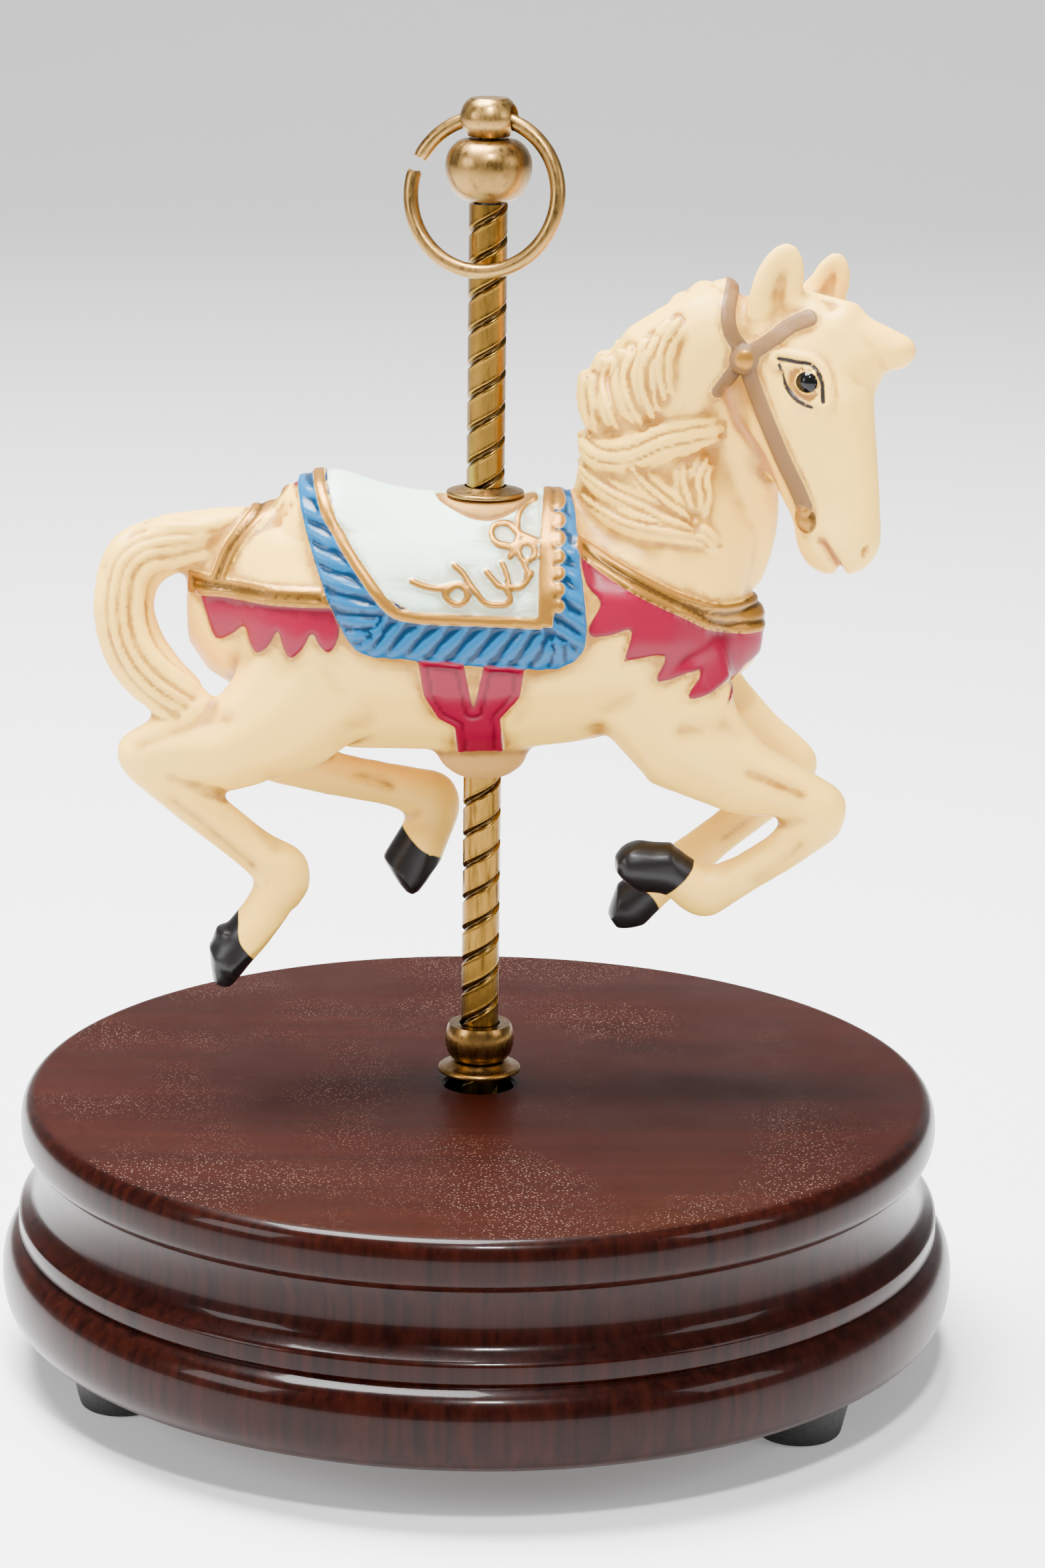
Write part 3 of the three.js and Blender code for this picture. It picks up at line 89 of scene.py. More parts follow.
class MusicBoxColours(bpy.types.PropertyGroup):
    ivory: colour("Ivory", (1.0, 0.62, 0.105), "The horse's bisque body")
    wash: colour("Wash", (0.31, 0.115, 0.010), "Tan wash that stays in the hollows")
    mint: colour("Mint", (0.66, 0.90, 0.74), "The saddle")
    blue: colour("Blue", (0.0, 0.078, 0.190), "The saddle blanket's gathered edge")
    crimson: colour("Crimson", (0.21, 0.0, 0.020), "Banners and girth")
    gold: colour("Gold", (0.33, 0.15, 0.020), "Painted gold trim")
    bridle: colour("Bridle", (0.17, 0.085, 0.030), "The bridle's straps")
    wood: colour("Wood", (0.024, 0.0034, 0.0018), "The turned base's stain")


# ---- Making meshes -------------------------------------------------------------------------
def clear_selection():
    if bpy.context.object and bpy.context.object.mode != "OBJECT":
        bpy.ops.object.mode_set(mode="OBJECT")
    bpy.ops.object.select_all(action="DESELECT")


def settle(piece, name, smooth_angle=35.0):
    """Name a finished piece, put its place into its mesh, and shade it."""
    clear_selection()
    piece.select_set(True)
    bpy.context.view_layer.objects.active = piece
    bpy.ops.object.transform_apply(location=True, rotation=True, scale=True)
    bpy.ops.object.shade_smooth_by_angle(angle=math.radians(smooth_angle))
    piece.name = name
    piece.data.name = name
    return piece


def edit_all(piece):
    """Open the piece for editing with everything selected."""
    clear_selection()
    bpy.context.view_layer.objects.active = piece
    piece.select_set(True)
    bpy.ops.object.mode_set(mode="EDIT")
    bpy.ops.mesh.select_all(action="SELECT")


def turned(name, profile, sides, centre=(0.0, 0.0), smooth_angle=35.0):
    """A closed solid of revolution from (radius, height) points in millimetres, drawn as a ring
    of edges that is extruded and resized from one point to the next, back to the first."""
    x, y = centre[0] * MM, centre[1] * MM
    radius, height = profile[0]
    clear_selection()
    bpy.ops.mesh.primitive_circle_add(vertices=sides, radius=radius * MM, fill_type="NOTHING",
                                      location=(x, y, height * MM))
    piece = bpy.context.object
    edit_all(piece)
    for next_radius, next_height in list(profile[1:]) + [profile[0]]:
        rise = (0.0, 0.0, (next_height - height) * MM)
        bpy.ops.mesh.extrude_region_move(TRANSFORM_OT_translate={"value": rise})
        grow = next_radius / radius
        bpy.ops.transform.resize(value=(grow, grow, 1.0),
                                 center_override=(x, y, next_height * MM))
        radius, height = next_radius, next_height
    bpy.ops.mesh.select_all(action="SELECT")
    bpy.ops.mesh.remove_doubles(threshold=1e-6)
    bpy.ops.mesh.normals_make_consistent(inside=False)
    bpy.ops.object.mode_set(mode="OBJECT")
    return settle(piece, name, smooth_angle)


def curve_points(start, pull, end, count):
    """Points after start on a curve that leaves start towards pull and ends at end."""
    points = []
    for i in range(1, count + 1):
        t = i / count
        points.append(tuple(start[k] * (1 - t) ** 2 + 2 * pull[k] * t * (1 - t) + end[k] * t * t
                            for k in (0, 1)))
    return points


def mesh_from(name, verts, faces):
    """A piece made straight from its points and faces."""
    mesh = bpy.data.meshes.new(name)
    mesh.from_pydata([tuple(v) for v in verts], [], faces)
    mesh.update()
    piece = bpy.data.objects.new(name, mesh)
    bpy.context.scene.collection.objects.link(piece)
    return piece


def apply_modifier(piece, kind, **values):
    clear_selection()
    piece.select_set(True)
    bpy.context.view_layer.objects.active = piece
    modifier = piece.modifiers.new(kind.lower(), kind)
    for key, value in values.items():
        setattr(modifier, key, value)
    bpy.ops.object.modifier_apply(modifier=modifier.name)


def number_attribute(piece, name, values):
    """Write one number for each vertex, for the materials to read."""
    layer = piece.data.attributes.get(name) or piece.data.attributes.new(name, "FLOAT", "POINT")
    layer.data.foreach_set("value", np.asarray(values, dtype=np.float32))


def vertices_of(piece):
    flat = np.empty(len(piece.data.vertices) * 3)
    piece.data.vertices.foreach_get("co", flat)
    return flat.reshape(-1, 3)


def normals_of(piece):
    flat = np.empty(len(piece.data.vertices) * 3)
    piece.data.vertices.foreach_get("normal", flat)
    return flat.reshape(-1, 3)


def set_vertices(piece, points):
    piece.data.vertices.foreach_set("co", points.ravel())
    piece.data.update()


def finish_piece(piece, body, slot, material, *nodes):
    """Give the piece its material and its moving body, and hide the CAD nodes it stands for. The slot is not used.
    """
    piece.data.materials.clear()
    piece.data.materials.append(material)
    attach(piece, body)
    if nodes:
        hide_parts(*nodes)


# ---- Materials -----------------------------------------------------------------------------
class Paint:
    """A short way to wire one material's nodes."""

    def __init__(self, name):
        self.material = bpy.data.materials.new(name)
        self.material.use_nodes = True
        self.tree = self.material.node_tree
        self.shader = self.tree.nodes["Principled BSDF"]

    def add(self, kind, **settings):
        made = self.tree.nodes.new("ShaderNode" + kind)
        for key, value in settings.items():
            if hasattr(made, key):
                setattr(made, key, value)
            else:
                self.feed(made.inputs[key.replace("_", " ")], value)
        return made

    def feed(self, socket, value):
        if isinstance(value, bpy.types.NodeSocket):
            self.tree.links.new(value, socket)
        elif isinstance(value, (tuple, list)) and len(value) == 3 and socket.type == "RGBA":
            socket.default_value = (*value, 1.0)
        else:
            socket.default_value = value

    def set(self, **inputs):
        for key, value in inputs.items():
            self.feed(self.shader.inputs[key.replace("_", " ")], value)

    def place(self, stretch=(1.0, 1.0, 1.0)):
        """The point in the piece's own metres."""
        where = self.add("TexCoord").outputs["Object"]
        mapping = self.add("Mapping")
        self.feed(mapping.inputs["Vector"], where)
        mapping.inputs["Scale"].default_value = stretch
        return mapping.outputs["Vector"]

    def noise(self, scale, detail=3.0, stretch=(1.0, 1.0, 1.0), roughness=0.5):
        made = self.add("TexNoise", Scale=scale, Detail=detail, Roughness=roughness)
        self.feed(made.inputs["Vector"], self.place(stretch))
        return made.outputs["Fac"]

    def spots(self, scale, feature="F1"):
        made = self.add("TexVoronoi", feature=feature, Scale=scale)
        self.feed(made.inputs["Vector"], self.place())
        return made.outputs["Distance"]

    def span(self, value, low, high, to_low=0.0, to_high=1.0):
        """Carry the value from low..high over to to_low..to_high, and no further."""
        made = self.add("MapRange", clamp=True)
        self.feed(made.inputs["Value"], value)
        for key, number in zip(("From Min", "From Max", "To Min", "To Max"),
                               (low, high, to_low, to_high)):
            made.inputs[key].default_value = number
        return made.outputs["Result"]

    def mix(self, share, first, second):
        made = self.add("Mix", data_type="RGBA")
        self.feed(made.inputs[0], share)
        self.feed(made.inputs[6], first)
        self.feed(made.inputs[7], second)
        return made.outputs[2]

    def mix_numbers(self, share, first, second):
        made = self.add("Mix", data_type="FLOAT")
        for socket, value in zip((0, 2, 3), (share, first, second)):
            self.feed(made.inputs[socket], value)
        return made.outputs[0]

    def math(self, operation, first, second=0.0):
        made = self.add("Math", operation=operation)
        self.feed(made.inputs[0], first)
        self.feed(made.inputs[1], second)
        return made.outputs["Value"]

    def attribute(self, name):
        made = self.add("Attribute", attribute_name=name)
        return made.outputs["Fac"]

    def bump(self, height, strength, distance=0.0002):
        made = self.add("Bump", Strength=strength, Distance=distance)
        self.feed(made.inputs["Height"], height)
        self.feed(self.shader.inputs["Normal"], made.outputs["Normal"])


def dark_wood(shade):
    """Red-brown stain with fine streaks of grain, glossy on the turned side, which is painted darker
    than the top as painted shade; the flat top is duller and holds a little dust."""
    paint = Paint("lacquered dark wood")
    upright = paint.noise(9.0, 6.0, (60.0, 60.0, 1.6), 0.62)
    pores = paint.noise(60.0, 4.0, (14.0, 14.0, 1.0), 0.6)
    board = paint.noise(9.0, 5.0, (1.4, 22.0, 22.0), 0.6)
    height = paint.add("SeparateXYZ")
    paint.feed(height.inputs[0], paint.place())
    flat_top = paint.span(height.outputs["Z"], BASE_TOP - 0.4 * MM, BASE_TOP - 0.1 * MM)
    streak = paint.mix_numbers(flat_top, paint.span(upright, 0.34, 0.70),
                               paint.span(board, 0.20, 0.85, 0.30, 0.80))
    dark = tuple(k * 0.22 for k in shade)
    light = (shade[0] * 1.2, shade[1] * 1.4, shade[2] * 1.3)
    # Painted shade: the turned side's grain is painted darker than the top's, where less light falls.
    turned_side_shaded = paint.mix(streak, dark, tuple(k * 0.64 for k in light))
    body = paint.mix(flat_top, turned_side_shaded, paint.mix(streak, dark, light))
    body = paint.mix(paint.span(pores, 0.60, 0.72, 0.0, 0.7), body, tuple(k * 0.15 for k in shade))
    dust = paint.math("MULTIPLY", paint.span(paint.spots(1700.0), 0.14, 0.26, 1.0, 0.0),
                      paint.span(paint.noise(34.0), 0.46, 0.62))
    dust = paint.math("MULTIPLY", dust, flat_top)
    paint.set(Base_Color=paint.mix(dust, body, TABLE_DUST))
    satin = paint.mix_numbers(flat_top, paint.span(paint.noise(22.0), 0.3, 0.7, 0.20, 0.32),
                              paint.span(paint.noise(30.0), 0.3, 0.7, 0.42, 0.58))
    paint.set(Roughness=satin, Specular_IOR_Level=0.06)
    paint.set(Coat_Weight=paint.span(flat_top, 0.0, 1.0, 0.13, 0.03), Coat_Roughness=0.06)
    paint.bump(upright, 0.25, 0.00008)
    return paint.material


# The colour the brass turns to towards the bottom of the pole's groove.
GROOVE_DARK = (0.070, 0.040, 0.014)
TABLE_DUST = (0.17, 0.10, 0.075)


def brass(name, bright, dull, roughness, streaks=6.0, spotted=0.0, hollow=None):
    """Brass with soft streaks and spots of tarnish, darker towards the bottom of the hollows."""
    paint = Paint(name)
    cloud = paint.span(paint.noise(60.0, 5.0), 0.35, 0.68)
    body = paint.mix(cloud, bright, dull)
    fleck = paint.noise(900.0, 3.0, (1.0, 1.0, streaks / 20.0), 0.7)
    body = paint.mix(paint.span(fleck, 0.55, 0.75, 0.0, 0.35 + 0.4 * spotted), body,
                     tuple(k * 0.35 for k in dull))
    if hollow:
        groove_share = paint.span(paint.attribute(hollow), 0.15, 0.85)
        body = paint.mix(groove_share, body, GROOVE_DARK)
    paint.set(Base_Color=body, Metallic=1.0)
    paint.set(Roughness=paint.span(fleck, 0.35, 0.75, roughness * 0.75, roughness * 1.5))
    paint.bump(paint.noise(1400.0, 2.0), 0.10, 0.00003)
    return paint.material


def plain_metal(name, body, roughness, grain=700.0):
    """Steel or cast zinc, with a fine even grain."""
    paint = Paint(name)
    cloud = paint.noise(grain, 4.0)
    dark = tuple(k * 0.72 for k in body)
    paint.set(Base_Color=paint.mix(cloud, dark, body), Metallic=1.0)
    paint.set(Roughness=paint.span(cloud, 0.3, 0.7, roughness * 0.8, roughness * 1.25))
    paint.bump(cloud, 0.15, 0.00003)
    return paint.material


def rubber():
    """Black rubber, dull and gritty."""
    paint = Paint("black rubber")
    grit = paint.noise(1600.0, 3.0)
    paint.set(Base_Color=paint.mix(grit, (0.006, 0.006, 0.006), (0.022, 0.021, 0.020)))
    paint.set(Roughness=paint.span(grit, 0.3, 0.7, 0.55, 0.85))
    paint.bump(grit, 0.3, 0.00005)
    return paint.material


def hardboard():
    """Brown pressed board, fibrous and without a finish."""
    paint = Paint("hardboard")
    fibre = paint.noise(420.0, 6.0, (1.0, 1.0, 0.3), 0.7)
    paint.set(Base_Color=paint.mix(fibre, (0.045, 0.026, 0.015), (0.15, 0.09, 0.052)))
    paint.set(Roughness=0.85)
    paint.bump(fibre, 0.4, 0.0001)
    return paint.material


def painted_bisque(colours):
    """Ivory bisque with a tan wash in its hollows; each painted region is an attribute that
    holds how far inside its edge a point lies, in millimetres."""
    paint = Paint("painted bisque")
    ivory, wash = tuple(colours.ivory), tuple(colours.wash)
    cloud = paint.span(paint.noise(38.0, 4.0), 0.35, 0.70)
    warm = (ivory[0] * 0.96, ivory[1] * 0.88, ivory[2] * 0.66)
    body = paint.mix(paint.math("MULTIPLY", cloud, 0.55), ivory, warm)
    hollow = paint.attribute("hollow")
    broken = paint.span(paint.noise(260.0, 5.0), 0.30, 0.70, 0.55, 1.15)
    stain = paint.math("MULTIPLY", paint.span(hollow, 0.06, 0.85), broken)
    body = paint.mix(paint.math("MINIMUM", paint.math("MULTIPLY", stain, 0.90), 0.90), body, wash)
    depth = paint.span(hollow, 0.05, 0.80)
    roughness = 0.42

    def coat(name, light, dark, dullness, soft=0.12):
        """Lay one colour over the rest inside its region; soft is half its edge's width."""
        nonlocal body, roughness
        share = paint.span(paint.attribute(name), -soft, soft)
        body = paint.mix(share, body, paint.mix(depth, light, dark))
        roughness = paint.mix_numbers(share, roughness, dullness)
        return share

    coat("raw", (0.50, 0.26, 0.06), (0.24, 0.11, 0.02), 0.85, 0.3)
    coat("mint", tuple(colours.mint), (0.40, 0.40, 0.28), 0.36)
    blue = tuple(colours.blue)
    # In the blue, the dark copy also fills the valleys of the gathers as painted shade.
    coat("blue", (blue[0] * 1.2 + 0.004, blue[1] * 1.25, blue[2] * 1.25),
         (0.001, 0.022, 0.060), 0.28)
    coat("crimson", tuple(colours.crimson), (0.13, 0.0, 0.012), 0.34)
    bridle = tuple(colours.bridle)
    coat("bridle", bridle, tuple(k * 0.45 for k in bridle), 0.5)
    gold = tuple(colours.gold)
    gilt = coat("gold", gold, tuple(k * 0.30 for k in gold), 0.36)
    coat("hoof", (0.007, 0.006, 0.006), (0.004, 0.004, 0.003), 0.36)
    coat("peach", (0.62, 0.30, 0.12), (0.5, 0.22, 0.08), 0.4, 0.5)
    coat("liner", (0.020, 0.012, 0.010), (0.015, 0.010, 0.008), 0.4, 0.10)
    coat("eye", (0.003, 0.003, 0.003), (0.003, 0.003, 0.003), 0.04, 0.08)
    paint.set(Base_Color=body, Roughness=roughness, Metallic=paint.math("MULTIPLY", gilt, 0.6))
    paint.set(Specular_IOR_Level=0.24, Coat_Weight=0.06, Coat_Roughness=0.25)
    paint.bump(paint.noise(800.0, 3.0), 0.05, 0.00004)
    return paint.material


def pale_floor():
    """White paper that glows a little in front and fades towards the back."""
    paint = Paint("pale paper")
    place = paint.add("SeparateXYZ")
    paint.feed(place.inputs[0], paint.place())
    back = paint.math("ADD", place.outputs["Y"], place.outputs["Z"])
    paint.set(Base_Color=(0.90, 0.90, 0.90), Roughness=0.75, Specular_IOR_Level=0.2)
    paint.set(Emission_Color=(1.0, 0.99, 0.985))
    paint.set(Emission_Strength=paint.span(back, -0.1, 2.2, 0.22, 0.02))
    return paint.material


# ---- The stage: camera, floor and lights ---------------------------------------------------
CAMERA_DISTANCE = 0.72343
CAMERA_HEIGHT = 0.24057
CAMERA_YAW = math.radians(0.539)
CAMERA_DOWN = math.radians(14.528)
CAMERA_ROLL = math.radians(0.75)
LENS = 101.65
SWEEP_WIDTH, SWEEP_DEPTH, SWEEP_BACK = 4.0, 2.4, 0.3
SWEEP_BEND, SWEEP_STEPS, SWEEP_WALL = 0.9, 14, 1.6
LIGHTS = (  # name, place, size and power
    ("overhead", (-0.20, 0.05, 1.10), 0.55, 68.0),
    ("front_top", (0.05, -0.70, 1.00), 0.10, 15.0),
    ("left", (-0.95, -0.55, 0.55), 0.45, 7.5),
    ("right", (0.95, -0.45, 0.60), 0.45, 4.5),
)
ROOM_COLOUR, ROOM_GLOW = (0.93, 0.94, 0.96, 1.0), 0.30


class MUSICBOX_OT_stage(bpy.types.Operator):
    """Set out the pale paper sweep, the soft lights and the camera"""
    bl_idname = "musicbox.stage"
    bl_label = "Stage"

    def execute(self, context):
        self.camera()
        self.paper_sweep()
        self.lights()
        return {"FINISHED"}

    def camera(self):
        camera_data = bpy.data.cameras.new("camera")
        camera_data.sensor_fit = "VERTICAL"
        camera_data.sensor_height = 36.0
        camera_data.lens = LENS
        camera = bpy.data.objects.new("camera", camera_data)
        bpy.context.scene.collection.objects.link(camera)
        ahead = Vector((math.sin(CAMERA_YAW) * math.cos(CAMERA_DOWN),
                        math.cos(CAMERA_YAW) * math.cos(CAMERA_DOWN), -math.sin(CAMERA_DOWN)))
        level = Vector((math.cos(CAMERA_YAW), -math.sin(CAMERA_YAW), 0.0))
        up = level.cross(ahead)
        right = level * math.cos(CAMERA_ROLL) + up * math.sin(CAMERA_ROLL)
        top = up * math.cos(CAMERA_ROLL) - level * math.sin(CAMERA_ROLL)
        camera.matrix_world = Matrix((
            (right.x, top.x, -ahead.x, 0.0),
            (right.y, top.y, -ahead.y, -CAMERA_DISTANCE),
            (right.z, top.z, -ahead.z, BASE_TOP + CAMERA_HEIGHT),
            (0.0, 0.0, 0.0, 1.0)))
        bpy.context.scene.camera = camera

    def paper_sweep(self):
        """A sheet of paper that lies flat under the piece and bends up behind it."""
        clear_selection()
        bpy.ops.mesh.primitive_plane_add(size=1.0, location=(0.0, 0.0, 0.0))
        floor = bpy.context.object
        edit_all(floor)
        bpy.ops.transform.resize(value=(SWEEP_WIDTH, SWEEP_DEPTH, 1.0))
        bpy.ops.transform.translate(value=(0.0, SWEEP_BACK, 0.0))
        bpy.ops.mesh.select_mode(type="EDGE")
        bpy.ops.mesh.select_all(action="DESELECT")
        bpy.ops.object.mode_set(mode="OBJECT")
        back = max(v.co.y for v in floor.data.vertices)
        for edge in floor.data.edges:
            edge.select = all(floor.data.vertices[i].co.y > back - 1e-6 for i in edge.vertices)
        bpy.ops.object.mode_set(mode="EDIT")
        turn = math.radians(90.0) / SWEEP_STEPS
        for i in range(SWEEP_STEPS):
            tilt = turn * (i + 0.5)
            move = (0.0, SWEEP_BEND * turn * math.cos(tilt), SWEEP_BEND * turn * math.sin(tilt))
            bpy.ops.mesh.extrude_region_move(TRANSFORM_OT_translate={"value": move})
        wall = (0.0, 0.0, SWEEP_WALL)
        bpy.ops.mesh.extrude_region_move(TRANSFORM_OT_translate={"value": wall})
        bpy.ops.object.mode_set(mode="OBJECT")
        floor.data.materials.append(pale_floor())
        settle(floor, "paper_sweep")

    def lights(self):
        for name, place, size, power in LIGHTS:
            data = bpy.data.lights.new(name, "AREA")
            data.shape = "SQUARE"
            data.size = size
            data.energy = power
            lamp = bpy.data.objects.new(name, data)
            lamp.location = place
            aim = Vector((0.0, 0.0, 0.10)) - Vector(place)
            lamp.rotation_euler = aim.to_track_quat("-Z", "Y").to_euler()
            bpy.context.scene.collection.objects.link(lamp)
        world = bpy.data.worlds.new("pale room")
        world.use_nodes = True
        background = world.node_tree.nodes["Background"]
        background.inputs["Color"].default_value = ROOM_COLOUR
        background.inputs["Strength"].default_value = ROOM_GLOW
        bpy.context.scene.world = world


# ---- Turned wooden base and its feet -------------------------------------------------------
def base_profile():
    """The base's outline, from the pole's hole over the rounded edges to the hollow inside."""
    top = BASE_TOP / MM
    bottom = BASE_BOTTOM / MM
    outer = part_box("wood_ring")[1][0] / MM
    cavity, ledge, roof = 54.0, 58.0, top - 8.0
    line = [(5.9, top - 0.5), (6.4, top), (30.0, top), (74.9, top)]
    line += curve_points((74.9, top), (78.3, top - 0.1), (78.3, top - 4.6), 9)
    line += curve_points(line[-1], (78.3, top - 7.6), (77.0, top - 8.4), 6)
    line += [(76.45, top - 8.75), (76.3, top - 9.1)]
    line += curve_points((76.3, top - 9.1), (74.4, top - 13.5), (76.3, top - 18.0), 12)
    line += curve_points((76.3, top - 18.0), (77.7, top - 19.4), (78.8, top - 20.2), 4)
    line += [(78.9, top - 20.6), (78.9, top - 23.2), (78.75, top - 23.5), (78.35, top - 23.9),
             (78.75, top - 24.3)]
    line += curve_points((78.9, top - 24.5), (outer, top - 25.6), (outer, top - 31.0), 10)
    line += curve_points((outer, top - 31.0), (outer, top - 36.8), (78.5, bottom), 9)
    line += [(77.6, bottom), (ledge, bottom), (ledge, bottom + 2.5), (cavity, bottom + 2.5),
             (cavity, roof), (5.9, roof)]
    return line


class MUSICBOX_OT_base(bpy.types.Operator):
    """Turn the wooden base and its rubber feet"""
    bl_idname = "musicbox.base"
    bl_label = "Wooden base and feet"

    def execute(self, context):
        sizes = context.scene.musicbox_sizes
        wood = dark_wood(tuple(context.scene.musicbox_colours.wood))
        base = turned("turned_base", base_profile(), sizes.sides, smooth_angle=40.0)
        finish_piece(base, "base", "dark_wood", wood, "wood_top", "wood_ring")
        black = rubber()
        for i in (1, 2, 3):
            low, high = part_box(f"foot_{i}")
            centre = ((low[0] + high[0]) / 2 / MM, (low[1] + high[1]) / 2 / MM)
            top_radius = (high[0] - low[0]) / 2 / MM
            top = high[2] / MM
            foot = [(4.2, 0.4), (4.6, 0.05), (5.9, 0.0)]
            foot += curve_points((5.9, 0.0), (7.1, 0.0), (7.3, 1.3), 5)
            foot += [(top_radius - 0.35, top - 0.5), (top_radius - 0.05, top - 0.3),
                     (top_radius - 0.1, top), (1.6, top), (1.6, 4.0), (4.1, 4.0)]
            bumper = turned(f"rubber_foot_{i}", foot, 64, centre)
            finish_piece(bumper, "base", "black_rubber", black, f"foot_{i}")
        return {"FINISHED"}


# ---- Brass on the pole ---------------------------------------------------------------------
POLE_RADIUS = 3.175 * MM
POLE_WALL = 0.6 * MM
POLE_BORE = 3.475  # inside the pieces threaded on the pole, in mm
GROOVE_HALF_WIDTH = 0.80 * MM
LIP_OFFSET, LIP_HALF_WIDTH, LIP_HEIGHT = 1.4 * MM, 0.35 * MM, 0.22
POLE_SIDES, ROWS_PER_TURN = 72, 44
BRASS_SIDES = 96
RING_RADIUS, RING_WIRE = 12.55 * MM, 1.25 * MM
RING_CLEARANCE = 0.3 * MM
HOLE_RADIUS, HOLE_FLARE, DRILL_REACH = 1.5 * MM, 0.92, 6.0 * MM
RING_START, RING_SPAN = math.radians(165.0), math.radians(349.0)
SNAPPED_ENDS = (0.90, 0.97)  # the wire's size in its last two rows


def twisted_tube(name, low, high, radius, bore, lead, depth):
    """A tube whose outside carries two shallow spiral grooves."""
    clear_selection()
    bpy.ops.mesh.primitive_circle_add(vertices=POLE_SIDES, radius=radius, fill_type="NOTHING",
                                      location=(0.0, 0.0, low))
    tube = bpy.context.object
    points = vertices_of(tube)
    angle = np.arctan2(points[:, 1], points[:, 0])
    away = np.abs(np.sin(angle)) * radius
    dip = np.exp(-(away / GROOVE_HALF_WIDTH) ** 4)
    lip = LIP_HEIGHT * np.exp(-((away - LIP_OFFSET) / LIP_HALF_WIDTH) ** 2)
    points[:, :2] *= (1.0 - depth * (dip - 0.3 * lip) / radius)[:, None]
    set_vertices(tube, points)
    rows = max(2, int(round((high - low) / lead * ROWS_PER_TURN)))
    edit_all(tube)
    for _ in range(rows):
        rise = (0.0, 0.0, (high - low) / rows)
        bpy.ops.mesh.extrude_region_move(TRANSFORM_OT_translate={"value": rise})
    bpy.ops.object.mode_set(mode="OBJECT")
    settle(tube, name)
    points = vertices_of(tube)
    turn = 2.0 * math.pi * (points[:, 2] - low) / lead
    x, y = points[:, 0].copy(), points[:, 1].copy()
    points[:, 0] = x * np.cos(turn) - y * np.sin(turn)
    points[:, 1] = x * np.sin(turn) + y * np.cos(turn)
    set_vertices(tube, points)
    edit_all(tube)
    bpy.ops.mesh.select_mode(type="EDGE")
    bpy.ops.mesh.select_all(action="DESELECT")
    bpy.ops.mesh.select_non_manifold()
    bpy.ops.mesh.extrude_region_move(TRANSFORM_OT_translate={"value": (0.0, 0.0, 0.0)})
    shrink = bore / radius
    bpy.ops.transform.resize(value=(shrink, shrink, 1.0), center_override=(0.0, 0.0, 0.0))
    bpy.ops.mesh.bridge_edge_loops()
    bpy.ops.mesh.select_all(action="SELECT")
    bpy.ops.mesh.normals_make_consistent(inside=False)
    bpy.ops.object.mode_set(mode="OBJECT")
    points = vertices_of(tube)
    reach = np.hypot(points[:, 0], points[:, 1])
    groove = np.clip((radius - reach) / depth, 0.0, 1.0)
    number_attribute(tube, "hollow", groove)
    return settle(tube, name, 60.0)


def ball_profile(bore, waist, radius, height, steps, widest=0.57, spread=None):
    """A ball's outline round its bore, widest at that share of its height. The bulge dies out
    at both ends, or runs on past them where spread, its own half height, is given."""
    line = [(bore, 0.0)]
    for i in range(steps + 1):
        share = i / steps
        reach = spread or (widest if share < widest else 1.0 - widest)
        bulge = math.sqrt(max(0.0, 1.0 - ((share - widest) / reach) ** 2))
        line.append((waist + (radius - waist) * bulge, height * share))
    return line + [(bore, height)]


def lifted(profile, by):
    """The same outline, higher up."""
    return [(r, z + by) for r, z in profile]


